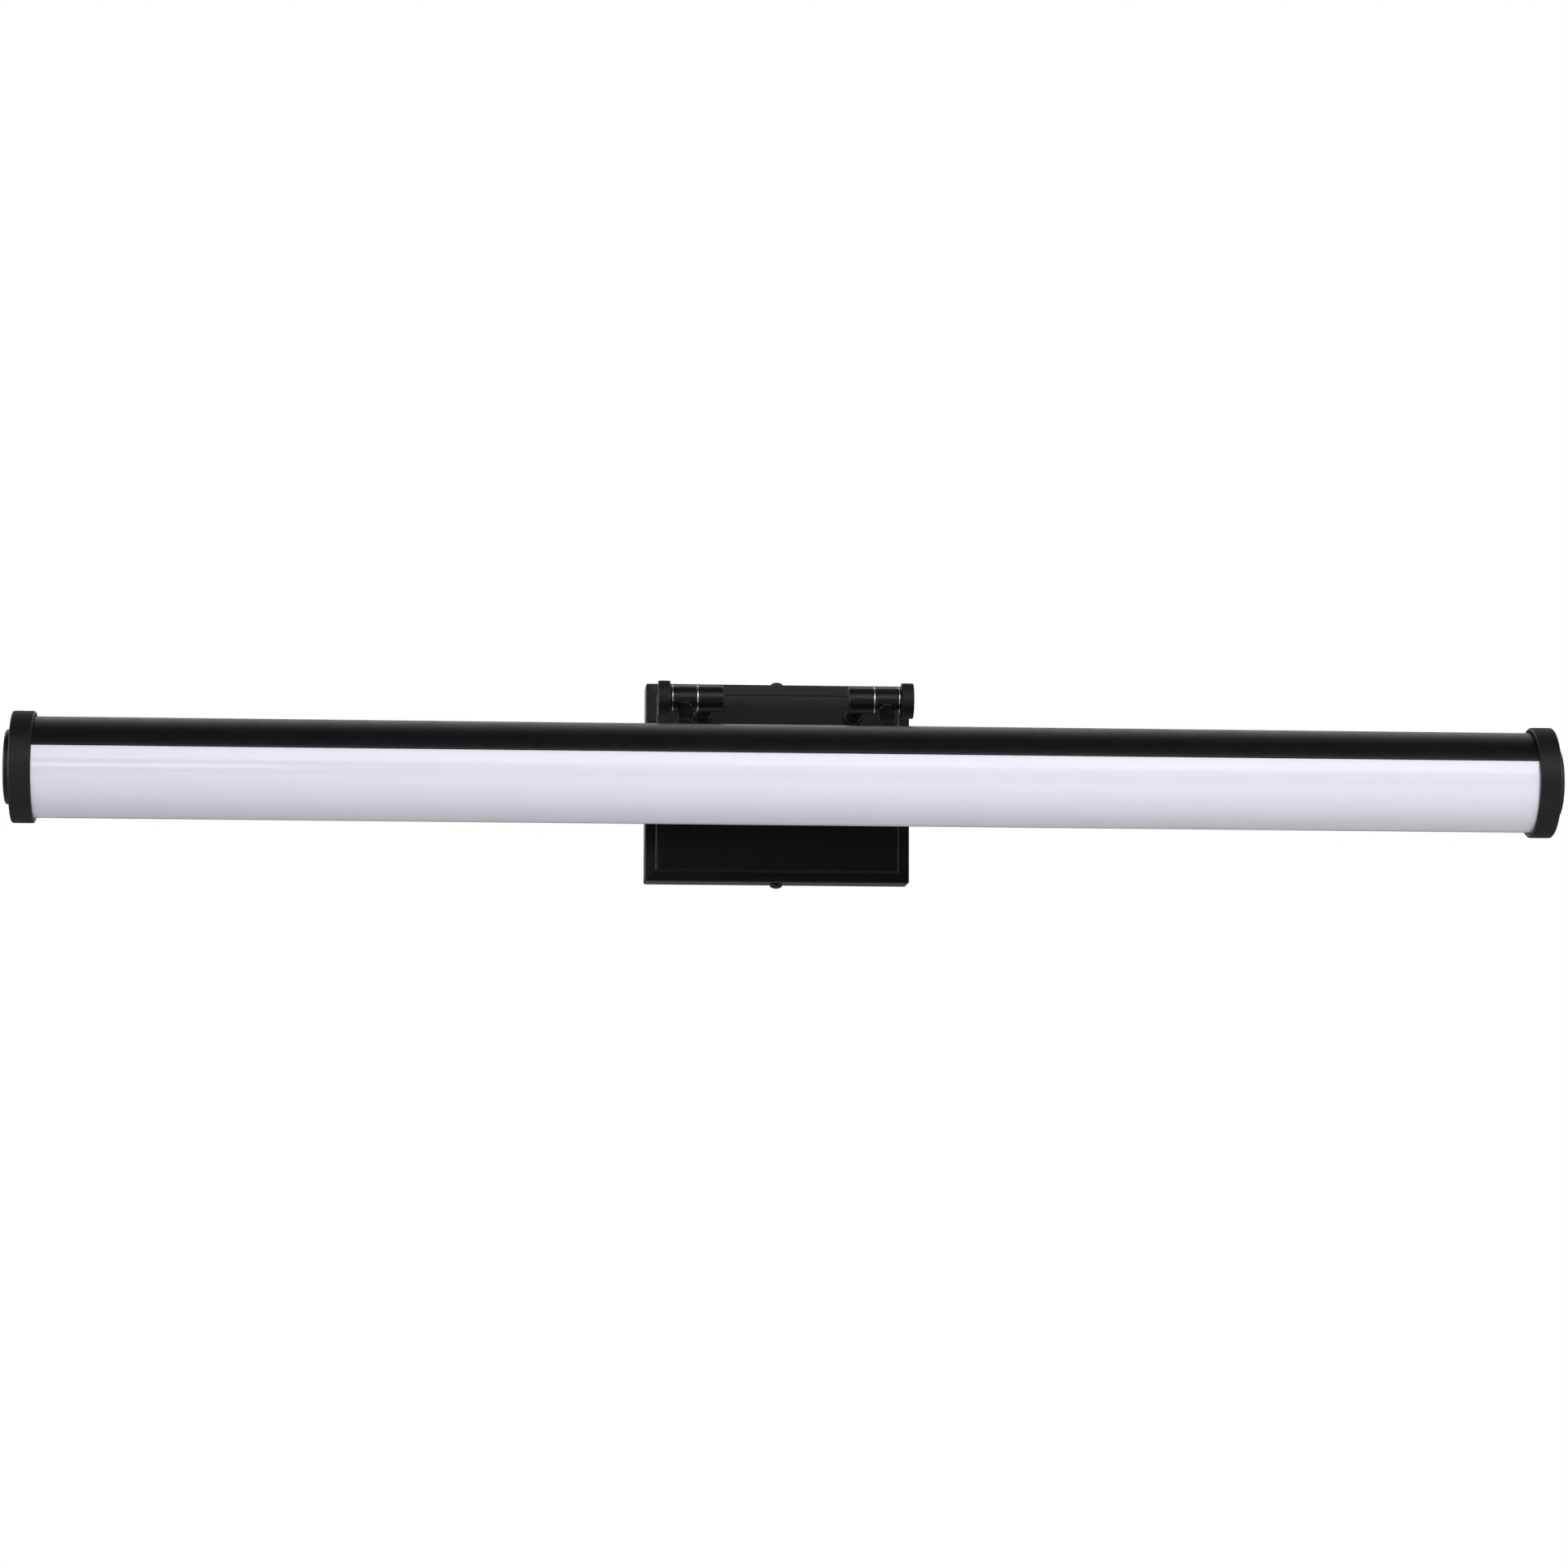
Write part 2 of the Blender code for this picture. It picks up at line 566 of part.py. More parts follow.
def make_front_arm(side, sign, pivot, tube):
    low, high = FRONT_BARREL
    wall = high - 0.0044
    chamfer = 0.0004
    bore = around(AXLE_R, 24)
    profile = [(low, CHAMBER_R), (low, BARREL_R - chamfer), (low + chamfer, BARREL_R),
               (high - chamfer, BARREL_R), (high, BARREL_R - chamfer), (high, bore), (wall, bore),
               (wall, CHAMBER_R)]
    barrel = turned("front_barrel_" + side, [(sign * x, r) for x, r in profile], BLACK, pivot,
                    segments=24, closed=True)
    x = sign * FRONT_ARM_X
    cut(barrel, rod("front_barrel_hole_" + side, (x, 0.0), around(ARM_R, 20), -BARREL_R - 0.002, 0.0,
                    "Z", segments=20))

    inner_end = 0.0205
    arm = turned("front_arm_" + side, tube_profile(inner_end - REACH, -ARM_SEAT), BLACK, pivot,
                 axis="Z", segments=20, closed=True)
    arm.location = (x, 0.0, 0.0)

    root, flare_low, top = 0.0277, 0.0386, 0.0418
    foot_r, shoulder_r, neck_r = 0.0080, 0.0075, 0.0047
    bore = around(ARM_R, 24)
    flare = [(flare_low + (top - flare_low) * i / 4, neck_r + (shoulder_r - neck_r) * (1 - i / 4) ** 2.2)
             for i in range(5)]
    foot = turned("arm_foot_" + side, [(root, bore), (root, foot_r), *flare, (top, bore)], BLACK,
                  tube, axis="Z", segments=24, closed=True)
    foot.location = (x, 0.0, 0.0)
    saddle = rod("foot_saddle_" + side, (0.0, 0.0), TUBE_R + GAP, x - 0.012, x + 0.012, "X", segments=72)
    cut(foot, saddle)

    nut_low = 0.0225
    nut = ring_prism("arm_nut_" + side, hexagon(NUT_FLATS), around(ARM_R, 18), nut_low,
                     nut_low + NUT_THICK, ZINC, tube, axis="Z")
    nut.location = (x, 0.0, 0.0)


def housing_outline():
    """Black extrusion: an open round back with two grooved ledges and two screw channels."""
    outer = TUBE_R
    inner = TUBE_R - TUBE_WALL
    seam = HOUSING_HALF_ANGLE
    channel_r = 0.0026
    screw_r = 0.00165
    slot = 0.0010

    def at_height(z):
        return (math.sqrt(inner**2 - z**2), z)

    def height_angle(z):
        return math.degrees(math.acos(z / inner))

    lip = 2.3
    recess = 0.0004
    half = arc(outer, 0, seam - lip, 17)
    half += arc(outer - recess, seam - lip, seam, 1)
    ledge_end = 0.0237
    half += [arc(inner, seam, seam, 1)[0], at_height(LOWER_RIB)]
    half += [(ledge_end, LOWER_RIB), (ledge_end, GROOVE[0])]
    half += [at_height(GROOVE[0]), at_height(GROOVE[1]), (BOSS_Y - channel_r, GROOVE[1])]
    opening_outer = math.degrees(math.asin(slot / channel_r))
    opening_inner = math.degrees(math.asin(slot / screw_r))
    centre = (BOSS_Y, BOSS_Z)
    half += arc(channel_r, -90, -opening_outer, 3, centre)
    half += arc(screw_r, -opening_inner, opening_inner - 360, 8, centre)
    half += arc(channel_r, opening_outer, 90, 3, centre)
    half += [(BOSS_Y + channel_r, LEDGE_TOP)]
    half += arc(inner, height_angle(LEDGE_TOP), 0, 11)
    return mirrored(half)


def diffuser_outline():
    """Opal shell: a round front whose edges tuck in behind the housing's wall."""
    seam = 180 - HOUSING_HALF_ANGLE - math.degrees(GAP / TUBE_R)
    tuck = TUBE_R - TUBE_WALL - GAP
    inner = TUBE_R - 0.0018
    half = arc(TUBE_R, 0, seam, 13) + arc(tuck, seam, 83, 1) + arc(inner - 0.0018, 83, 72, 2)
    half += arc(inner, 68, 0, 10)
    return mirrored([(u, -w) for u, w in half])


def make_tube(tube):
    housing = extruded("housing", housing_outline(), -TUBE_HALF, TUBE_HALF, BLACK, tube)
    for side, sign in SIDES.items():
        cut(housing, rod("housing_hole_" + side, (sign * FRONT_ARM_X, 0.0), ARM_R + 0.0002,
                         0.0200, 0.0320, "Z"))
    extruded("diffuser", diffuser_outline(), -TUBE_HALF, TUBE_HALF, OPAL, tube)

    tray = block("led_tray", (-TUBE_HALF + 0.0006, -TRAY_HALF_W, TRAY[0]),
                 (TUBE_HALF - 0.0006, TRAY_HALF_W, TRAY[1]), ALUMINIUM, tube)
    cut(tray, rod("tray_hole", (0.0, 0.0), 0.0026, TRAY[0] - 0.001, TRAY[1] + 0.001, "Z",
                  segments=16))

    for side, sign in SIDES.items():
        low, high = sorted((sign * BOARD_X[0], sign * BOARD_X[1]))
        board = block("led_board_" + side, (low, -BOARD_HALF_W, BOARD[0]),
                      (high, BOARD_HALF_W, BOARD[1]), BOARD_WHITE, tube)
        join(board, make_chips(side, low, high))

    connector = block("board_connector", (-0.0080, -0.0045, -0.0056), (0.0080, 0.0045, BOARD[0] - GAP),
                      PLUG_WHITE, tube)
    cut(connector, rod("connector_entry", (0.0, 0.0), 0.0012, -0.0045, 0.0, "Z", segments=12))
    route = [(0.0540, REACH - 0.0043), (0.0556, REACH - 0.0043), (FRONT_ARM_X - 0.0022, REACH - 0.0045),
             (FRONT_ARM_X, REACH - 0.0075), (FRONT_ARM_X, 0.0400), (FRONT_ARM_X, 0.0220),
             (FRONT_ARM_X - 0.0060, 0.0120), (0.0360, 0.0090), (0.0120, 0.0090), (0.0010, 0.0060),
             (0.0, 0.0), (0.0, -0.0036)]
    lead("lamp_lead", [(x, 0.0, z) for x, z in route], 0.0009, tube)


def make_chips(side, low, high):
    """The row of LED packages on one board, as one tool for a union."""
    bm = bmesh.new()
    pitch = (high - low) / CHIPS_PER_BOARD
    for i in range(CHIPS_PER_BOARD):
        x = low + pitch * (i + 0.5)
        place = Matrix.Translation((x, 0.0, BOARD[0] - 0.0002))
        size = Matrix.Diagonal((0.0035, 0.0028, 0.0010, 1.0))
        bmesh.ops.create_cube(bm, size=1.0, matrix=place @ size)
    mesh = bpy.data.meshes.new("chips_" + side)
    bm.to_mesh(mesh)
    bm.free()
    return link("chips_" + side, mesh, None, smooth=False)


def make_lamp_end(side, sign, tube):
    """Gasket, end plate, knurled ring, end disc and screws that close one end of the tube."""

    def turned_end(name, profile, material, segments, closed=True):
        points = [(sign * x, r) for x, r in profile]
        return turned(name, points, material, tube, segments=segments, closed=closed)

    gasket_low = TUBE_HALF + GAP
    gasket_high = gasket_low + 0.0010
    inner, outer = TUBE_R - 0.0038, TUBE_R - 0.0002
    profile = [(gasket_low, inner), (gasket_low, outer), (gasket_high, outer), (gasket_high, inner)]
    turned_end("end_gasket_" + side, profile, RUBBER, 28)
    plate_low = gasket_high + GAP
    plate_high = plate_low + 0.0030
    plate_r = TUBE_R - 0.0001
    profile = [(plate_low, 0.0), (plate_low, plate_r), (plate_high, plate_r), (plate_high, 0.0)]
    plate = turned_end("end_plate_" + side, profile, DRIVER_WHITE, 32, closed=False)

    web = plate_high + 0.0004
    window = 0.0120
    profile = [(RING_INNER_X, TUBE_R + GAP), (RING_INNER_X, RING_R - 0.0006),
               (RING_INNER_X + 0.0006, RING_R), (RING_OUTER_X - 0.0012, RING_R),
               (RING_OUTER_X, RING_R - 0.0012), (RING_OUTER_X, window), (web, window),
               (web, TUBE_R + GAP)]
    ring = turned_end("end_ring_" + side, profile, BLACK, 40)

    low = RING_OUTER_X + GAP
    high = DISC_OUTER_X
    back = high - 0.0014
    rim = DISC_R - 0.0020
    spigot = (0.0095, 0.0117)
    profile = [(high, 0.0), (high, DISC_R - 0.0012), (high - 0.0012, DISC_R), (low, DISC_R), (low, rim),
               (back, rim), (back, spigot[1]), (low - 0.0025, spigot[1]), (low - 0.0025, spigot[0]),
               (back, spigot[0]), (back, 0.0)]
    turned_end("end_disc_" + side, profile, BLACK, 32)

    for where, y in (("front", -BOSS_Y), ("rear", BOSS_Y)):
        for target, start, end in ((plate, plate_low, plate_high), (ring, web, RING_OUTER_X)):
            x_low, x_high = sorted((sign * (start - 0.0005), sign * (end + 0.0005)))
            cut(target, rod(f"{target.name}_{where}_hole", (y, BOSS_Z), 0.0018, x_low, x_high, "X",
                            segments=12))
        tip = low - 0.0200
        profile = [(tip, 0.0), (tip, 0.0009), (tip + 0.0010, 0.0015), (low, 0.0015), (low, 0.0028),
                   (low + 0.0008, 0.0028), (low + 0.0016, 0.0018), (low + 0.0016, 0.0)]
        screw = turned_end(f"end_screw_{side}_{where}", profile, ZINC, 12, closed=False)
        screw.location = (0.0, y, BOSS_Z)


def main():
    make_bracket()
    make_canopy()
    make_driver()
    make_terminal_block()
    make_pads()
    make_wall_side_leads()
    pivot = empty("lamp_pivot", (0.0, TILT_Y, TILT_Z), lean=-LEAN)
    tube = empty("tube_axis", (0.0, 0.0, -REACH), parent=pivot)
    for side, sign in SIDES.items():
        make_rear_side(side, sign)
        make_knob(side, sign)
        make_front_arm(side, sign, pivot, tube)
        make_lamp_end(side, sign, tube)
    make_tube(tube)


main()
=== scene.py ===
"""Looks of the wall-mounted picture light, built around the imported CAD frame. Units are metres.

Every visible piece is rebuilt here as a smooth mesh in the place of its CAD node: knurled end rings and
knobs, swivel knuckles, the round lamp tube, the stepped canopy and what shows behind it.
"""

import json
import math

import bmesh
import bpy
from mathutils import Matrix, Vector


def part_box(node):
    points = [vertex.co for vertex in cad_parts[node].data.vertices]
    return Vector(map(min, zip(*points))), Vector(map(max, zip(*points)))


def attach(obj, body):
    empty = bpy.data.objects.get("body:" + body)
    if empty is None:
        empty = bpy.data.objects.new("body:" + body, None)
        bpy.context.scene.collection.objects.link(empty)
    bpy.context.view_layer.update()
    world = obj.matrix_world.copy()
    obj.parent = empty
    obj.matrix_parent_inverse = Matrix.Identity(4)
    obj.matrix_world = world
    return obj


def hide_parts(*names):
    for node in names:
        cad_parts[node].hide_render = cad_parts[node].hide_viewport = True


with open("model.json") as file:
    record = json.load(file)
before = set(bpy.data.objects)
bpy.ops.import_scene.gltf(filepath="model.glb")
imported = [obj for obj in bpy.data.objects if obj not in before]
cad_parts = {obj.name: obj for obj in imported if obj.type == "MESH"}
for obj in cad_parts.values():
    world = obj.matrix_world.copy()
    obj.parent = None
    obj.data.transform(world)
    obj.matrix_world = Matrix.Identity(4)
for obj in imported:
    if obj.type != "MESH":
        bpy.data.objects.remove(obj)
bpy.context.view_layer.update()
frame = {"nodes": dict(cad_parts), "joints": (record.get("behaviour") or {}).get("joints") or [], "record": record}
SIDES = {"left": -1, "right": 1}

# ---- Places and sizes read from the frame ---------------------------------------------------


def box_size(node):
    low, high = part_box(node)
    return high - low


def box_centre(node):
    low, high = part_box(node)
    return (low + high) / 2


def along_x(node):
    """A right-hand node's extent along X, nearest the middle first."""
    low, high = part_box(node)
    return low.x, high.x


joints = {joint["name"]: joint for joint in frame["joints"]}
TILT = Vector(joints["lamp_tilt"]["pos_m"])
TUBE_CENTRE = box_centre("end_ring_right")
TUBE_CENTRE.x = 0.0
TO_TILT = TILT - TUBE_CENTRE
REACH = TO_TILT.length
LEAN = math.atan2(TO_TILT.y, TO_TILT.z)
RING_X = along_x("end_ring_right")
RING_R = box_size("end_ring_right").z / 2
DISC_FACE = along_x("end_disc_right")[1]
DISC_R = box_size("end_disc_right").z / 2
TUBE_HALF = along_x("housing")[1]
TUBE_R = 0.0297
TUBE_WALL = 0.0017
SEAM = 105.8  # degrees round the tube, from the way to the tilt axis to the diffuser's edge
REAR_BARREL = along_x("rear_barrel_right")
FRONT_BARREL = along_x("front_barrel_right")
FRICTION_WASHER = along_x("friction_washer_right")
KNOB_WASHER = along_x("knob_washer_right")
KNOB = along_x("knob_right")
AXLE = along_x("axle_right")
BARREL_R = 0.0080
FLANGE_R = box_size("rear_flange_right").z / 2
KNOB_R = box_size("knob_right").z / 2
AXLE_R = 0.00295
FIT = 0.0001  # radial gap of a shaft in its hole
CHAMBER_R = 0.0062
ARM_R = 0.00425
ARM_BORE = 0.0030
REAR_ARM_X = box_centre("rear_arm_right").x
FRONT_ARM_X = box_centre("front_arm_right").x
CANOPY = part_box("canopy")
CANOPY_HALF_W = CANOPY[1].x
CANOPY_HALF_H = CANOPY[1].z
PANEL_Y = CANOPY[0].y

TILT_FRAME = Matrix.Translation(TILT)
LAMP_FRAME = TILT_FRAME @ Matrix.Rotation(-LEAN, 4, "X") @ Matrix.Translation((0.0, 0.0, -REACH))


# ---- Materials ------------------------------------------------------------------------------


class Paint:
    """A Principled material with helpers that add procedural detail in object coordinates."""

    def __init__(self, name, roughness, metallic=0.0, coat=0.0, specular=0.5):
        self.material = bpy.data.materials.new(name)
        self.material.use_nodes = True
        self.nodes = self.material.node_tree.nodes
        self.links = self.material.node_tree.links
        self.shader = self.nodes["Principled BSDF"]
        self.shader.inputs["Roughness"].default_value = roughness
        self.shader.inputs["Metallic"].default_value = metallic
        self.shader.inputs["Coat Weight"].default_value = coat
        self.shader.inputs["Specular IOR Level"].default_value = specular
        self.place = self.nodes.new("ShaderNodeTexCoord").outputs["Object"]
        self.normal = None

    def stretched(self, scale):
        """Object coordinates multiplied along each axis."""
        node = self.nodes.new("ShaderNodeVectorMath")
        node.operation = "MULTIPLY"
        node.inputs[1].default_value = scale
        self.links.new(self.place, node.inputs[0])
        return node.outputs[0]

    def noise(self, scale, detail=2.0, place=None):
        node = self.nodes.new("ShaderNodeTexNoise")
        node.inputs["Scale"].default_value = scale
        node.inputs["Detail"].default_value = detail
        self.links.new(place or self.place, node.inputs["Vector"])
        return node.outputs["Fac"]

    def cells(self, scale):
        node = self.nodes.new("ShaderNodeTexVoronoi")
        node.inputs["Scale"].default_value = scale
        self.links.new(self.place, node.inputs["Vector"])
        return node

    def attribute(self, name):
        node = self.nodes.new("ShaderNodeAttribute")
        node.attribute_name = name
        return node.outputs["Fac"]

    def turning(self, centre, scale):
        """Noise that depends only on the distance from a line along X, like lathe marks."""
        moved = self.nodes.new("ShaderNodeVectorMath")
        moved.operation = "SUBTRACT"
        moved.inputs[1].default_value = centre
        self.links.new(self.place, moved.inputs[0])
        flat = self.nodes.new("ShaderNodeVectorMath")
        flat.operation = "MULTIPLY"
        flat.inputs[1].default_value = (0.0, 1.0, 1.0)
        self.links.new(moved.outputs[0], flat.inputs[0])
        radius = self.nodes.new("ShaderNodeVectorMath")
        radius.operation = "LENGTH"
        self.links.new(flat.outputs[0], radius.inputs[0])
        marks = self.nodes.new("ShaderNodeTexNoise")
        marks.noise_dimensions = "1D"
        marks.inputs["Scale"].default_value = scale
        marks.inputs["Detail"].default_value = 3.0
        self.links.new(radius.outputs["Value"], marks.inputs["W"])
        return marks.outputs["Fac"]

    def ramp(self, fac, low, high, start=0.3, end=0.7):
        """Maps a texture value to a range of numbers."""
        node = self.nodes.new("ShaderNodeMapRange")
        node.inputs["From Min"].default_value = start
        node.inputs["From Max"].default_value = end
        node.inputs["To Min"].default_value = low
        node.inputs["To Max"].default_value = high
        self.links.new(fac, node.inputs["Value"])
        return node.outputs["Result"]

    def blend(self, fac, first, second, start=0.3, end=0.7):
        """A colour between two, chosen by a texture value. Either may be an earlier blend."""
        node = self.nodes.new("ShaderNodeMix")
        node.data_type = "RGBA"
        self.links.new(self.ramp(fac, 0.0, 1.0, start, end), node.inputs["Factor"])
        for colour, socket in ((first, node.inputs[6]), (second, node.inputs[7])):
            if isinstance(colour, tuple):
                socket.default_value = (*colour, 1.0)
            else:
                self.links.new(colour, socket)
        return node.outputs[2]

    def colour(self, value):
        self.links.new(value, self.shader.inputs["Base Color"])

    def roughness(self, value):
        self.links.new(value, self.shader.inputs["Roughness"])

    def bump(self, height, distance, strength=1.0):
        """Adds a bump over the ones already there."""
        node = self.nodes.new("ShaderNodeBump")
        node.inputs["Distance"].default_value = distance
        node.inputs["Strength"].default_value = strength
        self.links.new(height, node.inputs["Height"])
        if self.normal is not None:
            self.links.new(self.normal, node.inputs["Normal"])
        self.normal = node.outputs["Normal"]
        self.links.new(self.normal, self.shader.inputs["Normal"])


def black_coat(name, roughness, tone=1.0, grain=1.0):
    """Satin black powder coat: a fine orange peel, faint mottling and specks.

    tone scales the colours, and grain the specks and the orange peel.
    """
    paint = Paint(name, sum(roughness) / 2, specular=0.28)
    dark = tuple(c * tone for c in (0.0026, 0.0026, 0.0036))
    light = tuple(c * tone for c in (0.0044, 0.0044, 0.0056))
    speck = tuple(c * tone * grain for c in (0.010, 0.010, 0.012))
    mottled = paint.blend(paint.noise(45.0, 4.0), dark, light)
    paint.colour(paint.blend(paint.noise(5200.0, 1.0), mottled, speck, 0.72, 0.80))
    paint.roughness(paint.ramp(paint.noise(140.0, 5.0), *roughness))
    paint.bump(paint.noise(1500.0, 2.0), 0.000007 * grain)
    paint.bump(paint.noise(6500.0, 1.0), 0.000002 * grain)
    return paint.material


def knurl_coat():
    """The same coat over a knurl, lighter on the crests and duller in the grooves. The lighter crest colour is
    partly the coat worn thin and partly a painted highlight where the crests catch the light.
    """
    paint = Paint("black_knurl", 0.36, specular=0.28)
    crest = paint.attribute("crest")
    ground = paint.blend(paint.noise(300.0, 3.0), (0.003, 0.003, 0.004), (0.006, 0.006, 0.007))
    # crests painted lighter: partly coat worn thin, partly a painted highlight of the knurl catching the light
    paint.colour(paint.blend(crest, ground, (0.014, 0.014, 0.016), 0.55, 1.0))
    paint.roughness(paint.ramp(crest, 0.55, 0.36, 0.1, 0.9))
    paint.bump(paint.noise(5200.0, 2.0), 0.000006)
    return paint.material


def opal_acrylic():
    """Extruded opal acrylic: nearly white, a faint violet cast, soft flow lines along the tube."""
    paint = Paint("opal_diffuser", 0.30, coat=0.55, specular=0.30)
    paint.shader.inputs["Coat Roughness"].default_value = 0.10
    flow = paint.noise(1.0, 3.0, paint.stretched((3.0, 160.0, 160.0)))
    tint = paint.blend(flow, (0.824, 0.806, 0.900), (0.829, 0.812, 0.905))
    paint.colour(paint.blend(paint.noise(3200.0, 2.0), tint, (0.834, 0.817, 0.909), 0.60, 0.85))
    paint.roughness(paint.ramp(paint.noise(60.0, 3.0), 0.22, 0.25))
    paint.bump(flow, 0.000002, 0.3)
    paint.bump(paint.noise(2400.0, 2.0), 0.0000006)
    return paint.material


def turned_steel():
    """Bright washers and axles with lathe marks round the tilt axis."""
    paint = Paint("bright_steel", 0.24, metallic=1.0)
    marks = paint.turning(TILT, 9000.0)
    paint.colour(paint.blend(marks, (0.50, 0.50, 0.51), (0.60, 0.60, 0.61)))
    paint.roughness(paint.ramp(paint.noise(700.0, 3.0), 0.28, 0.34))
    paint.bump(marks, 0.000002, 0.5)
    return paint.material


def zinc_plate():
    """Zinc plated pressed steel: a blotchy, faintly yellow grey with fine rolling scratches."""
    paint = Paint("zinc_plate", 0.40, metallic=1.0)
    blotches = paint.blend(paint.noise(110.0, 5.0), (0.46, 0.46, 0.45), (0.66, 0.65, 0.61))
    scratches = paint.noise(1.0, 2.0, paint.stretched((250.0, 250.0, 4200.0)))
    paint.colour(paint.blend(scratches, blotches, (0.74, 0.73, 0.70), 0.62, 0.80))
    paint.roughness(paint.ramp(paint.noise(420.0, 4.0), 0.30, 0.52))
    paint.bump(scratches, 0.000012, 0.6)
    paint.bump(paint.noise(1900.0, 3.0), 0.000006)
    return paint.material


def plain_aluminium():
    """Mill finish aluminium with drawing lines along the tube."""
    paint = Paint("plain_aluminium", 0.36, metallic=1.0)
    lines = paint.noise(1.0, 3.0, paint.stretched((8.0, 3600.0, 3600.0)))
    paint.colour(paint.blend(lines, (0.58, 0.59, 0.60), (0.78, 0.79, 0.80)))
    paint.roughness(paint.ramp(paint.noise(160.0, 3.0), 0.30, 0.46))
    paint.bump(lines, 0.00001, 0.7)
    return paint.material


def circuit_board(name, dark, light):
    """Solder mask over copper: raised track shapes and a fine weave under the lacquer."""
    paint = Paint(name, 0.34, coat=0.3)
    tracks = paint.cells(190.0)
    tracks.distance = "CHEBYCHEV"
    paint.colour(paint.blend(tracks.outputs["Distance"], light, dark, 0.25, 0.40))
    paint.roughness(paint.ramp(paint.noise(800.0, 3.0), 0.28, 0.44))
    paint.bump(tracks.outputs["Distance"], 0.00002, 0.6)
    paint.bump(paint.noise(2800.0, 1.0), 0.000006)
    return paint.material


def moulded_plastic(name, low, high, roughness=(0.40, 0.56)):
    """Moulded plastic with a fine spark texture."""
    paint = Paint(name, sum(roughness) / 2)
    paint.colour(paint.blend(paint.noise(70.0, 4.0), low, high))
    paint.roughness(paint.ramp(paint.noise(500.0, 3.0), *roughness))
    paint.bump(paint.cells(2600.0).outputs["Distance"], 0.000015, 0.7)
    return paint.material


def foam():
    """Closed-cell foam and silicone, soft and matt."""
    paint = Paint("grey_foam", 0.85)
    cells = paint.cells(1700.0).outputs["Distance"]
    paint.colour(paint.blend(cells, (0.16, 0.16, 0.165), (0.36, 0.36, 0.37), 0.1, 0.7))
    paint.roughness(paint.ramp(paint.noise(600.0, 3.0), 0.75, 0.95))
    paint.bump(cells, 0.00008)
    return paint.material


def ground_green():
    """Green passivated screw."""
    paint = Paint("ground_green", 0.34, metallic=0.7)
    paint.colour(paint.blend(paint.noise(900.0, 3.0), (0.02, 0.20, 0.07), (0.05, 0.36, 0.13)))
    paint.roughness(paint.ramp(paint.noise(1500.0, 3.0), 0.26, 0.46))
    paint.bump(paint.noise(2600.0, 2.0), 0.000008)
    return paint.material


def wire_insulation():
    """White wire insulation, slightly uneven in tone and sheen."""
    paint = Paint("white_lead", 0.38)
    paint.colour(paint.blend(paint.noise(240.0, 3.0), (0.60, 0.60, 0.57), (0.76, 0.76, 0.73)))
    paint.roughness(paint.ramp(paint.noise(900.0, 3.0), 0.32, 0.48))
    paint.bump(paint.noise(1800.0, 2.0), 0.00001)
    return paint.material


MATERIALS = {
    "black_coat": black_coat("black_coat", (0.33, 0.41)),
    "canopy_coat": black_coat("canopy_coat", (0.28, 0.31), 0.5, 0.5),
    "black_knurl": knurl_coat(),
    "opal_diffuser": opal_acrylic(),
    "bright_steel": turned_steel(),
    "zinc_plate": zinc_plate(),
    "plain_aluminium": plain_aluminium(),
    "white_board": circuit_board("white_board", (0.70, 0.70, 0.67), (0.82, 0.82, 0.80)),
    "green_board": circuit_board("green_board", (0.012, 0.10, 0.045), (0.03, 0.20, 0.09)),
    "white_plastic": moulded_plastic("white_plastic", (0.66, 0.66, 0.63), (0.75, 0.75, 0.72)),
    "grey_foam": foam(),
    "ground_green": ground_green(),
    "white_lead": wire_insulation(),
}
NODE_SLOT = {part["node"]: part["material_slot"] for part in frame["record"]["subparts"]}


# ---- Mesh helpers ---------------------------------------------------------------------------

WELD = 1e-7  # points nearer than this are one
SHARP = 32.0  # degrees between faces from which an edge is drawn sharp
STRAIGHT = math.radians(178)
CORNER_SHARE = 0.49  # of an edge's length that the rounding of one corner may use


def mesh_object(name, bm):
    """Turns a bmesh, already in the row frame, into an object in the scene."""
    bmesh.ops.remove_doubles(bm, verts=bm.verts, dist=WELD)
    bmesh.ops.recalc_face_normals(bm, faces=bm.faces)
    mesh = bpy.data.meshes.new(name)
    bm.to_mesh(mesh)
    bm.free()
    obj = bpy.data.objects.new(name, mesh)
    bpy.context.scene.collection.objects.link(obj)
    return obj


def place_piece(name, bm, slot, body, nodes=(), sharp=SHARP, finish=None):
    """Turns a bmesh into a piece that rides on a body, in place of CAD nodes if any are named.

    finish names a material other than the slot's own.
    """
    obj = mesh_object(name, bm)
    obj.data.materials.append(MATERIALS[finish or slot])
    obj.data.shade_smooth()
    obj.data.set_sharp_from_angle(angle=math.radians(sharp))
    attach(obj, body)
    if nodes:
        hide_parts(*nodes)
    return obj


def bridge(bm, first, second):
    """Faces between two closed rings of as many vertices."""
    count = len(first)
    for i in range(count):
        j = (i + 1) % count
        bm.faces.new((first[i], first[j], second[j], second[i]))


def rows_to_mesh(rows, matrix=Matrix.Identity(4), closed_rows=True, values=None):
    """A grid of points as faces. Each row is a closed ring, and the last row may join the first.

    values, one for each point, are kept on the mesh as the attribute "crest".
    """
    bm = bmesh.new()
    layer = bm.verts.layers.float.new("crest") if values else None
    made = [[bm.verts.new(matrix @ Vector(p)) for p in row] for row in rows]
    for k in range(len(made) if closed_rows else len(made) - 1):
        bridge(bm, made[k], made[(k + 1) % len(made)])
    for row, row_values in zip(made, values or ()):
        for vert, value in zip(row, row_values):
            vert[layer] = value
    return bm, made


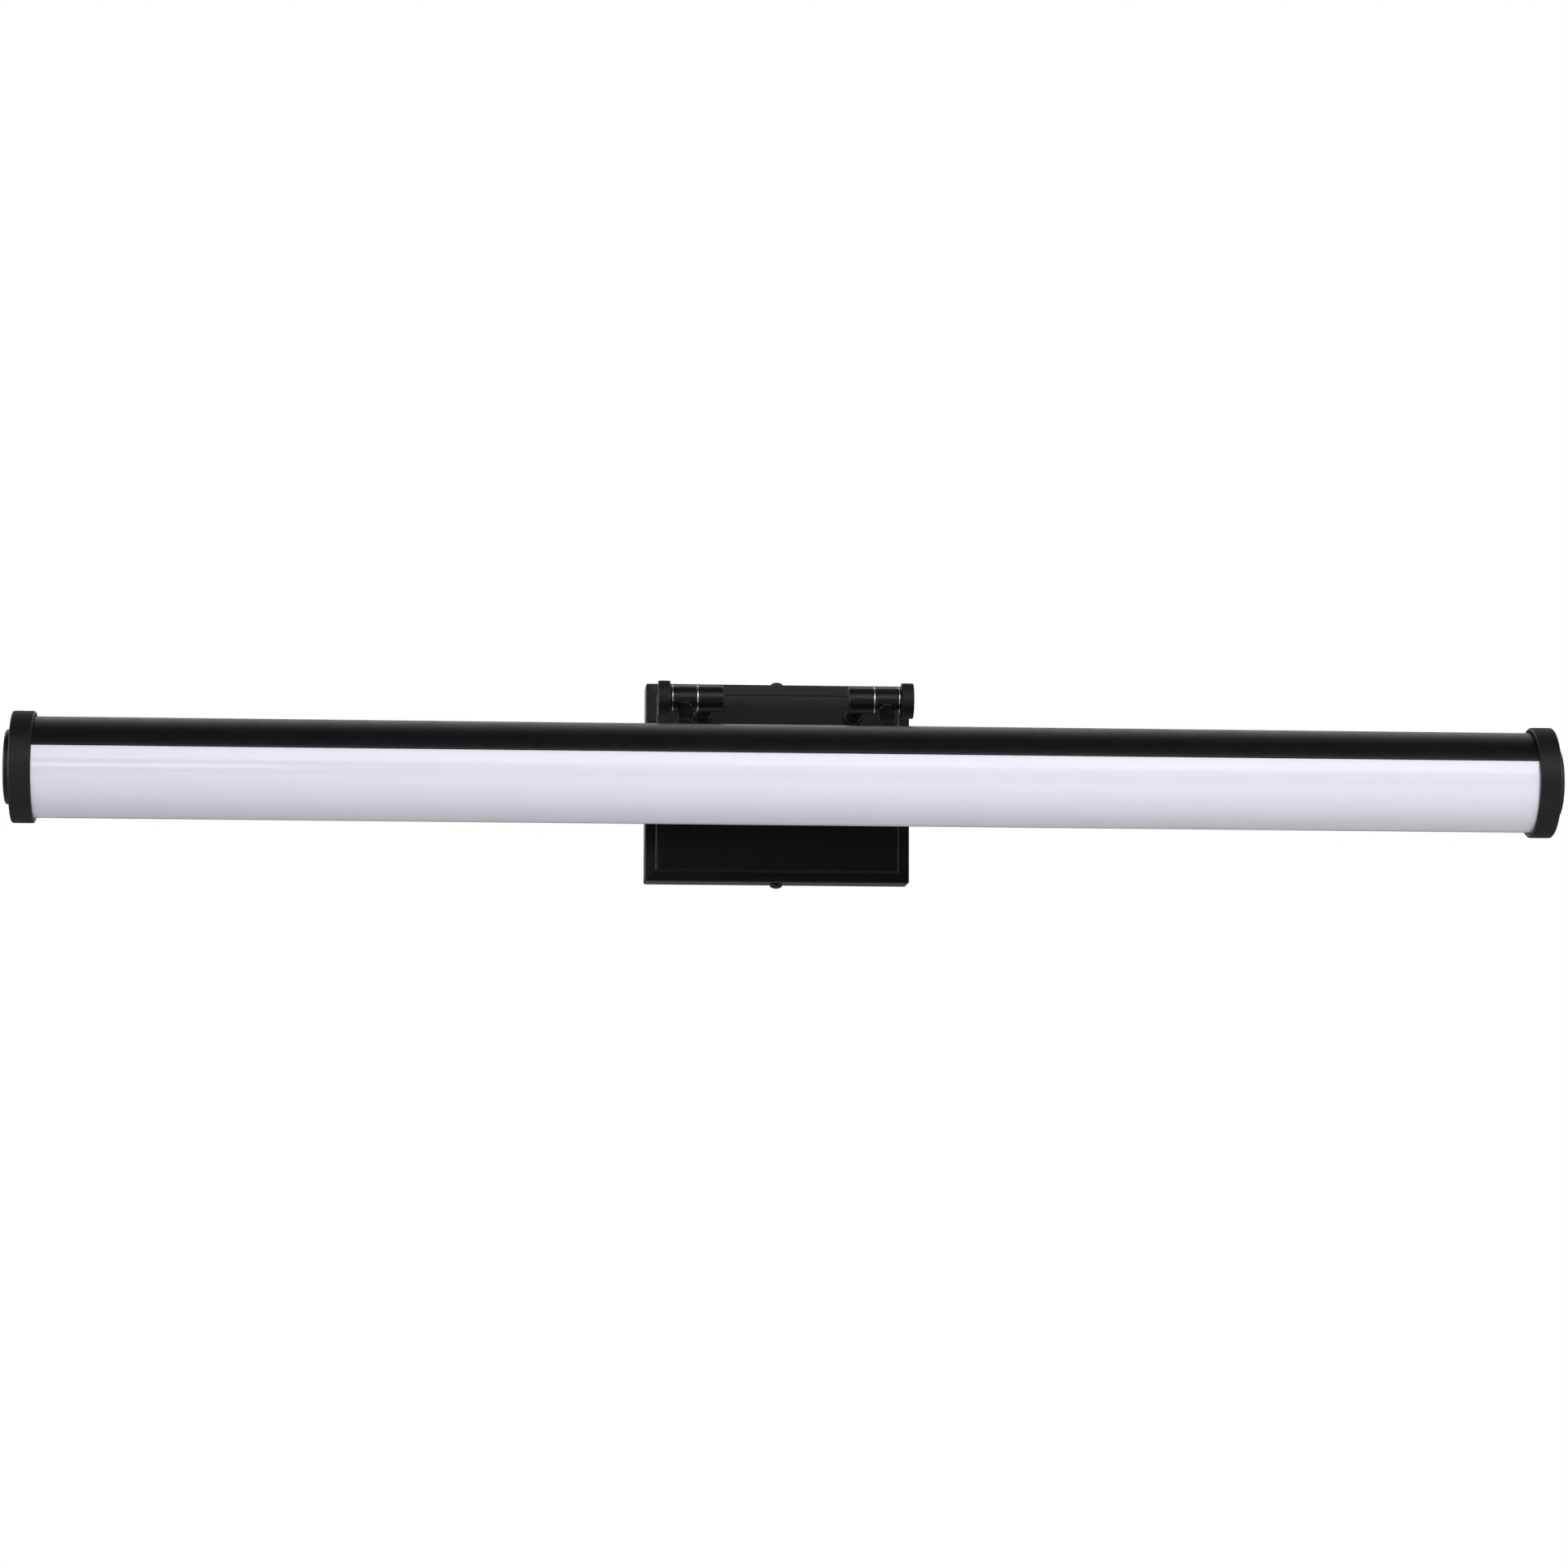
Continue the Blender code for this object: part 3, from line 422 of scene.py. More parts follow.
def fillet(points, radius, steps=4, closed=True):
    """A 2D outline with its corners rounded. radius is one number, or one for each point."""
    radii = radius if isinstance(radius, (list, tuple)) else [radius] * len(points)
    out = []
    count = len(points)
    for i, (point, r) in enumerate(zip(points, radii)):
        here = Vector(point)
        if r <= 0.0 or (not closed and i in (0, count - 1)):
            out.append(tuple(here))
            continue
        before = Vector(points[i - 1]) - here
        after = Vector(points[(i + 1) % count]) - here
        angle = before.angle(after)
        if angle > STRAIGHT:
            out.append(tuple(here))
            continue
        room = CORNER_SHARE * min(before.length, after.length)
        cut = min(r / math.tan(angle / 2), room)
        bisector = (before.normalized() + after.normalized()).normalized()
        centre = here + bisector * (cut * math.tan(angle / 2) / math.sin(angle / 2))
        start = here + before.normalized() * cut - centre
        end = here + after.normalized() * cut - centre
        turn = start.angle(end)
        for k in range(steps + 1):
            t = k / steps
            swept = start * math.sin((1 - t) * turn) + end * math.sin(t * turn)
            out.append(tuple(centre + swept / math.sin(turn)))
    return out


def ring(station, radii, sign=1):
    """A ring of points round the X axis at one station, with a radius for each point."""
    angles = [math.tau * i / len(radii) for i in range(len(radii))]
    return [(sign * station, r * math.sin(angle), r * math.cos(angle)) for angle, r in zip(angles, radii)]


def lathe(profile, segments, matrix=Matrix.Identity(4), sign=1, closed=True):
    """Turns a profile of (station along X, radius). An open profile ends on the axis."""
    rows = [ring(station, [radius] * segments, sign) for station, radius in profile]
    return rows_to_mesh(rows, matrix, closed_rows=closed)[0]


def axis_matrix(axis):
    """Turns the X axis that lathe() works along onto Y or Z."""
    if axis == "Y":
        return Matrix.Rotation(math.radians(90), 4, "Z")
    return Matrix.Rotation(math.radians(-90), 4, "Y")


def polar(radius, angle):
    """A point of the tube's section, with the angle in degrees from the way to the tilt axis."""
    return (radius * math.sin(math.radians(angle)), radius * math.cos(math.radians(angle)))


def polar_arc(radius, start, end, steps):
    return [polar(radius, start + (end - start) * i / steps) for i in range(steps + 1)]


def mirrored(half):
    """A whole section from its half on the side of positive u."""
    return half + [(-u, w) for u, w in reversed(half) if abs(u) > 1e-9]


def extrude_section(outline, stations, matrix=Matrix.Identity(4)):
    """A section of (y, z) points carried along X through the stations, with flat ends."""
    rows = [[(x, y, z) for y, z in outline] for x in stations]
    bm, made = rows_to_mesh(rows, matrix, closed_rows=False)
    bm.faces.new(made[0])
    bm.faces.new(made[-1])
    return bm


def drill(piece, *tools):
    """Cuts closed shapes out of a piece and applies the result, so no cutter is left behind."""
    for tool in tools:
        modifier = piece.modifiers.new("drill", "BOOLEAN")
        modifier.operation = "DIFFERENCE"
        modifier.solver = "EXACT"
        modifier.object = tool
    bpy.context.view_layer.update()
    graph = bpy.context.evaluated_depsgraph_get()
    mesh = bpy.data.meshes.new_from_object(piece.evaluated_get(graph))
    piece.modifiers.clear()
    old = piece.data
    piece.data = mesh
    bpy.data.meshes.remove(old)
    for tool in tools:
        data = tool.data
        bpy.data.objects.remove(tool)
        bpy.data.meshes.remove(data)
    piece.data.shade_smooth()
    piece.data.set_sharp_from_angle(angle=math.radians(SHARP))


def round_tool(name, radius, low, high, matrix):
    """A cylinder to drill with."""
    profile = [(low, 0.0), (low, radius), (high, radius), (high, 0.0)]
    return mesh_object(name, lathe(profile, 48, matrix, closed=False))


# ---- Knurled pieces -------------------------------------------------------------------------

RING_DIAMONDS = 157
KNOB_DIAMONDS = 51
KNURL_PITCH = 0.00225  # of a diamond along the axis
KNURL_DEPTH = 0.00026
CREST_GAIN = 1.25  # cuts the diamonds' tips flat
PLAIN_CREST = 0.55  # crest value of the turned faces beside a knurl
RIM_SHARP = 50.0


def knurl_height(u, v):
    """Height of a diamond knurl, 0 in the grooves and 1 at the crests. u and v count diamonds."""

    def groove(t):
        return abs(t - math.floor(t) - 0.5) * 2.0

    height = 1.0 - max(groove(u + v + 0.5), groove(u - v + 0.5))
    return min(1.0, height * CREST_GAIN)


def knurled_shell(back, front, start, end, radius, diamonds, edge, fine, matrix, sign, open_core=True):
    """A turned body whose outside between two stations carries a diamond knurl.

    front and back carry on from the knurl's end to its start. They meet, or end on the axis when
    open_core is False. A chamfer of width edge cuts the knurl away at both ends. fine is the number
    of faces across a diamond.
    """
    segments = diamonds * fine
    steps = max(8, round((end - start) / KNURL_PITCH * fine))
    rows = []
    crests = []
    for k in range(steps + 1):
        station = start + (end - start) * k / steps
        limit = radius - max(0.0, edge - min(station - start, end - station))
        heights = [knurl_height(i / fine, (station - start) / KNURL_PITCH) for i in range(segments)]
        radii = [min(limit, radius - KNURL_DEPTH * (1.0 - height)) for height in heights]
        rows.append(ring(station, radii, sign))
        crests.append([height if r < limit - WELD else 1.0 for height, r in zip(heights, radii)])

    def smooth_rows(profile):
        return [ring(station, [r] * segments, sign) for station, r in profile]

    if open_core:
        rows += smooth_rows([*front, *back])
    else:
        rows = smooth_rows(back) + rows + smooth_rows(front)
        crests = [[PLAIN_CREST] * segments] * len(back) + crests
    crests += [[PLAIN_CREST] * segments] * (len(rows) - len(crests))
    return rows_to_mesh(rows, matrix, closed_rows=open_core, values=crests)[0]


def make_end_ring(side, sign):
    """Knurled cup that closes the end of the tube, with its clean bore and rounded web."""
    start, end = RING_X
    bore = TUBE_R + 0.0003
    web = end - 0.0035
    window = 0.0120  # radius of the opening in the web, behind the disc
    ease, soft = 0.0003, 0.0004  # broken edges
    front = [(end, RING_R - 0.0016), (end + 0.00005, RING_R - 0.0030), (end, window + soft),
             (end - soft, window)]
    inside = [(web + ease, window), (web, window + ease), (web, bore - soft), (web - soft, bore),
              (start + ease, bore), (start, bore + ease), (start, RING_R - 0.0010)]
    bm = knurled_shell(inside, front, start, end, RING_R, RING_DIAMONDS, 0.0007, 4, LAMP_FRAME, sign)
    place_piece(f"knurled_end_ring_{side}", bm, "black_knurl", "lamp", [f"end_ring_{side}"], RIM_SHARP)


def make_knob(side, sign):
    """Knurled clamp knob: a shallow turned dish on its face and a clean hub against the washer."""
    start, end = KNOB
    bore = AXLE_R + FIT
    hub_r = BARREL_R - 0.0004
    shoulder = start + 0.0009
    bore_end = end - 0.0013
    dish, pip = end - 0.0003, end - 0.0001
    ease = 0.0003
    face = [(end, KNOB_R - 0.0013), (end, KNOB_R - 0.0022), (dish, KNOB_R - 0.0026), (dish, 0.0030),
            (pip, 0.0022), (pip, 0.0)]
    back = [(bore_end, 0.0), (bore_end, bore), (start + ease, bore), (start, bore + ease),
            (start, hub_r - 0.0002), (start + 0.0002, hub_r), (shoulder, hub_r),
            (shoulder, KNOB_R - 0.0010)]
    bm = knurled_shell(back, face, shoulder, end, KNOB_R, KNOB_DIAMONDS, 0.0004, 6, TILT_FRAME, sign,
                       open_core=False)
    place_piece(f"knurled_knob_{side}", bm, "black_knurl", f"{side}_knob", [f"knob_{side}"], RIM_SHARP)


# ---- Knuckles and arms ----------------------------------------------------------------------


def weld_fillet(name, size, x, matrix, body):
    """Weld fillet where an arm along -Z leaves a barrel whose axis is X."""
    columns, steps = 72, 6
    sunk, lap = 0.0004, 0.0002  # into the barrel and into the arm
    section = []
    for k in range(steps + 1):
        angle = math.radians(90.0 * k / steps)
        section.append((ARM_R + size - size * math.cos(angle), size - size * math.sin(angle)))
    section += [(ARM_R + size, -sunk), (ARM_R - lap, -sunk), (ARM_R - lap, size)]
    rows = []
    for reach, rise in section:
        row = []
        for i in range(columns):
            angle = math.tau * i / columns
            across = reach * math.sin(angle)
            z = -(math.sqrt(BARREL_R**2 - across**2) + rise)
            row.append((x + reach * math.cos(angle), across, z))
        rows.append(row)
    place_piece(name, rows_to_mesh(rows, matrix)[0], "black_coat", body)


def make_barrel(name, node, low, high, inner_wall, blind, sign, matrix, body, hole_matrix):
    """One half of a knuckle: a chamfered barrel with its wire chamber and the hole for its arm."""
    bore = AXLE_R + FIT
    chamfer, ease = 0.0003, 0.00015
    outside = [(low, BARREL_R - chamfer), (low + chamfer, BARREL_R), (high - chamfer, BARREL_R),
               (high, BARREL_R - chamfer)]
    if blind:
        bottom = low + 0.0014
        profile = [(low, 0.0), *outside, (high, CHAMBER_R), (inner_wall, CHAMBER_R), (inner_wall, bore),
                   (bottom, bore), (bottom, 0.0)]
    else:
        profile = [(low, CHAMBER_R), *outside, (high, bore), (inner_wall, bore), (inner_wall, CHAMBER_R)]
    bm = lathe(fillet(profile, ease, 3, closed=not blind), 96, matrix, sign, closed=not blind)
    barrel = place_piece(name, bm, "black_coat", body, [node])
    drill(barrel, round_tool(name + "_tool", ARM_R + 0.00008, 0.0, BARREL_R + 0.002, hole_matrix))


def make_arm(name, node, low, high, matrix, body):
    """A hollow arm between two stations along the matrix's X axis."""
    profile = fillet([(low, ARM_BORE), (low, ARM_R), (high, ARM_R), (high, ARM_BORE)], 0.00025, 3)
    place_piece(name, lathe(profile, 64, matrix), "black_coat", body, [node])


def make_washer(name, node, span, bore, sign, body):
    """A bright washer, a touch wider than the barrels beside it."""
    low, high = span
    outer = BARREL_R + 0.00005
    profile = fillet([(low, bore), (low, outer), (high, outer), (high, bore)], 0.00012, 3)
    place_piece(name, lathe(profile, 96, TILT_FRAME, sign), "bright_steel", body, [node])


def make_knuckle(side, sign):
    """Both barrels, the arms and their welds, the washers, the axle and the collar on the canopy."""
    rear_x = sign * REAR_ARM_X
    front_x = sign * FRONT_ARM_X
    pivot_frame = TILT_FRAME @ Matrix.Rotation(-LEAN, 4, "X")
    to_wall = TILT_FRAME @ Matrix.Translation((rear_x, 0.0, 0.0)) @ axis_matrix("Y")
    quarter = math.radians(90)
    down = pivot_frame @ Matrix.Translation((front_x, 0.0, 0.0)) @ Matrix.Rotation(quarter, 4, "Y")
    chamber_end = REAR_BARREL[0] + 0.0049
    make_barrel(f"knuckle_rear_{side}", f"rear_barrel_{side}", *REAR_BARREL, chamber_end, True, sign,
                TILT_FRAME, "wall_side", to_wall)
    chamber_end = FRONT_BARREL[1] - 0.0044
    make_barrel(f"knuckle_front_{side}", f"front_barrel_{side}", *FRONT_BARREL, chamber_end, False, sign,
                pivot_frame, "lamp", down)

    arm_low, arm_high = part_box(f"rear_arm_{side}")
    wall_frame = Matrix.Translation((rear_x, 0.0, TILT.z)) @ axis_matrix("Y")
    make_arm(f"arm_to_wall_{side}", f"rear_arm_{side}", arm_low.y, arm_high.y, wall_frame, "wall_side")
    inside_tube, seat = 0.0205, REACH - 0.0056
    tube_frame = LAMP_FRAME @ Matrix.Translation((front_x, 0.0, 0.0)) @ axis_matrix("Z")
    make_arm(f"arm_to_tube_{side}", f"front_arm_{side}", inside_tube, seat, tube_frame, "lamp")
    weld_fillet(f"weld_front_{side}", 0.0006, front_x, pivot_frame, "lamp")
    wall_turn = TILT_FRAME @ Matrix.Rotation(quarter, 4, "X")
    weld_fillet(f"weld_rear_{side}", 0.0005, rear_x, wall_turn, "wall_side")

    make_washer(f"silver_friction_washer_{side}", f"friction_washer_{side}", FRICTION_WASHER, CHAMBER_R,
                sign, "wall_side")
    make_washer(f"silver_knob_washer_{side}", f"knob_washer_{side}", KNOB_WASHER, AXLE_R + 0.0002, sign,
                f"{side}_clamp")
    low, high = AXLE
    profile = fillet([(low, 0.0), (low, AXLE_R), (high, AXLE_R), (high, 0.0)], 0.0004, 3, closed=False)
    place_piece(f"turned_axle_{side}", lathe(profile, 48, TILT_FRAME, sign, closed=False), "bright_steel",
                "wall_side", [f"axle_{side}"])

    low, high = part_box(f"rear_flange_{side}")
    bore = ARM_R + FIT
    profile = [(high.y, bore), (high.y, FLANGE_R)]
    profile += fillet([(high.y, FLANGE_R), (low.y + 0.0010, FLANGE_R), (low.y, FLANGE_R - 0.0006),
                       (low.y, bore)], [0.0, 0.0005, 0.0004, 0.0], 4)[1:]
    place_piece(f"wall_flange_{side}", lathe(profile, 72, wall_frame), "black_coat", "wall_side",
                [f"rear_flange_{side}"])


def make_arm_foot(side, sign):
    """Flared foot of the front arm, sitting on the round of the housing."""
    x = sign * FRONT_ARM_X
    bore = ARM_R + FIT
    bottom, shoulder, top = TUBE_R + 0.0002, 0.0386, 0.0418  # from the tube's axis
    neck_r, flare, shoulder_r, foot_r = 0.0046, 0.0027, 0.0075, 0.0079
    height = top - bottom
    ease = 0.0002
    columns, steps = 96, 14
    section = []
    for k in range(steps + 1):
        t = k / steps
        section.append((neck_r + flare * t**2.0, top - (top - shoulder) * t - bottom))
    section += [(shoulder_r, shoulder - 0.0006 - bottom), (0.0076, 0.0060), (foot_r, 0.0), (bore, 0.0),
                (bore, height - ease), (bore + ease, height)]
    rows = []
    for reach, rise in section:
        row = []
        for i in range(columns):
            angle = math.tau * i / columns
            across = reach * math.sin(angle)
            sag = bottom - math.sqrt(bottom**2 - across**2)
            row.append((x + reach * math.cos(angle), across, bottom + rise - sag * (1.0 - rise / height)))
        rows.append(row)
    bm = rows_to_mesh(rows, LAMP_FRAME)[0]
    place_piece(f"flared_foot_{side}", bm, "black_coat", "lamp", [f"arm_foot_{side}"])


# ---- Lamp tube ------------------------------------------------------------------------------


def housing_section():
    """The housing's section: a round back, a rounded seam edge, ribs and screw channels.

    Points are (u, w) from the tube's axis, with w towards the tilt axis.
    """
    inner = TUBE_R - TUBE_WALL
    groove_low, groove_high, ledge, rib = -0.0012, 0.0008, 0.0022, -0.0024
    groove_u = 0.0237  # how far from the middle the tray's groove reaches
    boss_u, boss_w = 0.0160, 0.0046
    boss_r, screw_r, slot = 0.0026, 0.00165, 0.0010
    edge = 0.55  # degrees of the rounded outer edge at the seam

    def at_height(w):
        return (math.sqrt(inner**2 - w**2), w)

    def boss_arc(radius, start, end, steps):
        return [(boss_u + u, boss_w + w) for u, w in polar_arc(radius, start, end, steps)]

    boss_open = math.degrees(math.asin(slot / boss_r))
    screw_open = math.degrees(math.asin(slot / screw_r))
    half = polar_arc(TUBE_R, 0.0, SEAM - edge, 72)
    half += [polar(TUBE_R - 0.00006, SEAM - edge * 0.45), polar(TUBE_R - 0.00022, SEAM - edge * 0.08),
             polar(TUBE_R - 0.00045, SEAM)]
    half += [polar(inner, SEAM), at_height(rib), (groove_u, rib), (groove_u, groove_low),
             at_height(groove_low), at_height(groove_high), (boss_u - boss_r, groove_high)]
    half += boss_arc(boss_r, -90.0, -boss_open, 6)
    half += boss_arc(screw_r, -screw_open, screw_open - 360.0, 20)
    half += boss_arc(boss_r, boss_open, 90.0, 6)
    half += [(boss_u + boss_r, ledge)]
    half += polar_arc(inner, math.degrees(math.acos(ledge / inner)), 0.0, 44)
    return mirrored(half)


def diffuser_section():
    """The opal shell's section: a round front whose thinned edges tuck in behind the housing's wall."""
    seam = 180.0 - SEAM - math.degrees(0.0003 / TUBE_R)
    tuck = TUBE_R - TUBE_WALL - 0.0003
    inner = TUBE_R - 0.0018
    lip = inner - 0.0018
    lip_end, lip_start, wall_start = 83.0, 72.0, 68.0  # degrees from the middle of the front
    half = polar_arc(TUBE_R, 0.0, seam - 0.5, 60)
    half += [polar(TUBE_R - 0.00008, seam - 0.2), polar(TUBE_R - 0.00035, seam), polar(tuck, seam + 0.1)]
    half += polar_arc(tuck, seam + 0.4, lip_end, 5) + polar_arc(lip, lip_end, lip_start, 6)
    half += polar_arc(inner, wall_start, 0.0, 44)
    return [(u, -w) for u, w in mirrored(half)]


def make_tube():
    stations = [-TUBE_HALF, -TUBE_HALF * 0.5, 0.0, TUBE_HALF * 0.5, TUBE_HALF]
    bm = extrude_section(housing_section(), stations, LAMP_FRAME)
    housing = place_piece("black_housing", bm, "black_coat", "lamp", ["housing"])
    tools = []
    for side, sign in SIDES.items():
        place = LAMP_FRAME @ Matrix.Translation((sign * FRONT_ARM_X, 0.0, 0.0)) @ axis_matrix("Z")
        tools.append(round_tool(f"housing_tool_{side}", ARM_R + FIT, 0.020, 0.032, place))
    drill(housing, *tools)
    bm = extrude_section(diffuser_section(), stations, LAMP_FRAME)
    place_piece("opal_shell", bm, "opal_diffuser", "lamp", ["diffuser"])


def make_end_disc(side, sign):
    """Black disc over the end, with a rounded rim and a spigot and rim turned on its back."""
    low = RING_X[1] + 0.0003
    back = DISC_FACE - 0.0014
    spigot = low - 0.0025
    rim_r, spigot_r, spigot_bore = 0.0200, 0.0117, 0.0095
    profile = fillet([(DISC_FACE, 0.0), (DISC_FACE, DISC_R), (low, DISC_R), (low, rim_r), (back, rim_r),
                      (back, spigot_r), (spigot, spigot_r), (spigot, spigot_bore), (back, spigot_bore),
                      (back, 0.0)],
                     [0.0, 0.0014, 0.0002, 0.0002, 0.0003, 0.0003, 0.0002, 0.0002, 0.0003, 0.0], 8,
                     closed=False)
    bm = lathe(profile, 160, LAMP_FRAME, sign, closed=False)
    place_piece(f"rounded_end_disc_{side}", bm, "black_coat", "lamp", [f"end_disc_{side}"])


# ---- Canopy ---------------------------------------------------------------------------------

EDGES = (("top", 1), ("bottom", -1))


def rounded_rectangle(half_w, half_h, corner, y, steps=10):
    points = []
    for k, (sx, sz) in enumerate(((1, 1), (1, -1), (-1, -1), (-1, 1))):
        for i in range(steps + 1):
            angle = math.radians(90 * k + 90 * i / steps)
            points.append((sx * (half_w - corner) + corner * math.sin(angle), y,
                           sz * (half_h - corner) + corner * math.cos(angle)))
    return points


def canopy_profile():
    """The canopy's outside and inside as (inset from the outer wall, y), rim to front and back again."""
    rim = CANOPY[1].y
    face = -0.0230
    panel_inset = CANOPY_HALF_W - 0.0740
    middle = panel_inset + 0.0120
    wall = 0.0012
    inside_y = PANEL_Y + wall
    outside = fillet([(0.0, rim), (0.0, face), (panel_inset - 0.0003, face), (panel_inset, PANEL_Y),
                      (middle, PANEL_Y)], [0.0, 0.0009, 0.0007, 0.0006, 0.0], 8, closed=False)
    inside = fillet([(middle, inside_y), (panel_inset + wall, inside_y),
                     (panel_inset + wall - 0.0002, face + wall), (wall, face + wall), (wall, rim)],
                    [0.0, 0.0004, 0.0005, 0.0010, 0.0], 4, closed=False)
    return outside, inside


def make_canopy():
    """A pressed pan: rings of rounded rectangles, closed by a flat face outside and one inside."""
    corner, least_corner = 0.0013, 0.0006
    outside, inside = canopy_profile()
    bm = bmesh.new()
    made = []
    for inset, y in outside + inside:
        points = rounded_rectangle(CANOPY_HALF_W - inset, CANOPY_HALF_H - inset * 0.97,
                                   max(corner - inset * 0.2, least_corner), y)
        made.append([bm.verts.new(point) for point in points])
    front = len(outside) - 1
    for k in range(len(made)):
        if k != front:
            bridge(bm, made[k], made[(k + 1) % len(made)])
    bm.faces.new(made[front])
    bm.faces.new(made[front + 1])
    canopy = place_piece("pressed_canopy", bm, "black_coat", "wall_side", ["canopy"], sharp=40.0,
                         finish="canopy_coat")
    tools = []
    for side, sign in SIDES.items():
        place = Matrix.Translation((sign * REAR_ARM_X, 0.0, TILT.z)) @ axis_matrix("Y")
        tools.append(round_tool(f"arm_tool_{side}", ARM_R + 0.0002, PANEL_Y - 0.002, PANEL_Y + 0.004, place))
    screw = box_centre("canopy_screw_top")
    for where, sign in EDGES:
        place = Matrix.Translation((screw.x, screw.y, 0.0)) @ axis_matrix("Z")
        low, high = sorted((sign * (CANOPY_HALF_H - 0.003), sign * (CANOPY_HALF_H + 0.002)))
        tools.append(round_tool(f"screw_tool_{where}", 0.0023, low, high, place))
    drill(canopy, *tools)


def make_canopy_screws():
    """Domed side screws, one at the top and one at the bottom edge."""
    threads, pitch = 7, 0.0009
    shank_r, root_r, head_r = 0.0020, 0.0017, 0.0038
    rim, ease = 0.0008, 0.0002  # height and broken edge of the head's rim
    dome_steps = 12
    under = CANOPY_HALF_H + 0.0003
    for where, sign in EDGES:
        low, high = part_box(f"canopy_screw_{where}")
        centre = box_centre(f"canopy_screw_{where}")
        tip, crown = (low.z, high.z) if sign > 0 else (-high.z, -low.z)
        profile = [(tip, 0.0), (tip, shank_r - 0.0005), (tip + 0.0005, shank_r)]
        for k in range(threads):
            z = tip + 0.0008 + k * pitch
            profile += [(z, shank_r), (z + 0.00035, root_r), (z + 0.0007, shank_r)]
        profile += [(under, shank_r), (under, head_r - ease), (under + ease, head_r)]
        for k in range(dome_steps + 1):
            angle = k / dome_steps * math.pi / 2
            profile.append((under + rim + (crown - under - rim) * math.sin(angle), head_r * math.cos(angle)))
        place = Matrix.Translation((centre.x, centre.y, 0.0)) @ axis_matrix("Z")
        bm = lathe([(sign * z, r) for z, r in profile], 64, place, closed=False)
        place_piece(f"domed_screw_{where}", bm, "black_coat", "wall_side", [f"canopy_screw_{where}"])


# ---- Camera, lights and floor ---------------------------------------------------------------

CAMERA_AT = (-0.1809, -2.9555, -0.3228)
CAMERA_YAW = math.radians(3.608)  # to the right of straight at the wall
CAMERA_PITCH = math.radians(6.264)  # upwards
CAMERA_ROLL = math.radians(0.209)
SENSOR = 36.0  # mm
LENS = 110.6385  # mm
FLOOR_Z = -0.62
FLOOR_REACH = 2.35


def make_camera():
    forward = Vector((math.sin(CAMERA_YAW) * math.cos(CAMERA_PITCH),
                      math.cos(CAMERA_YAW) * math.cos(CAMERA_PITCH), math.sin(CAMERA_PITCH)))
    level = Vector((math.cos(CAMERA_YAW), -math.sin(CAMERA_YAW), 0.0))
    above = level.cross(forward)
    right = level * math.cos(CAMERA_ROLL) + above * math.sin(CAMERA_ROLL)
    up = above * math.cos(CAMERA_ROLL) - level * math.sin(CAMERA_ROLL)
    data = bpy.data.cameras.new("camera")
    data.sensor_width = SENSOR
    data.lens = LENS
    data.clip_start = 0.05
    camera = bpy.data.objects.new("camera", data)
    bpy.context.scene.collection.objects.link(camera)
    turn = Matrix((right, up, -forward)).transposed().to_4x4()
    camera.matrix_world = Matrix.Translation(CAMERA_AT) @ turn
    bpy.context.scene.camera = camera


def area_light(name, place, target, width, height, power):
    data = bpy.data.lights.new(name, "AREA")
    data.shape = "RECTANGLE"
    data.size = width
    data.size_y = height
    data.energy = power
    light = bpy.data.objects.new(name, data)
    bpy.context.scene.collection.objects.link(light)
    light.location = place
    light.rotation_euler = (Vector(target) - Vector(place)).to_track_quat("-Z", "Y").to_euler()
    return light


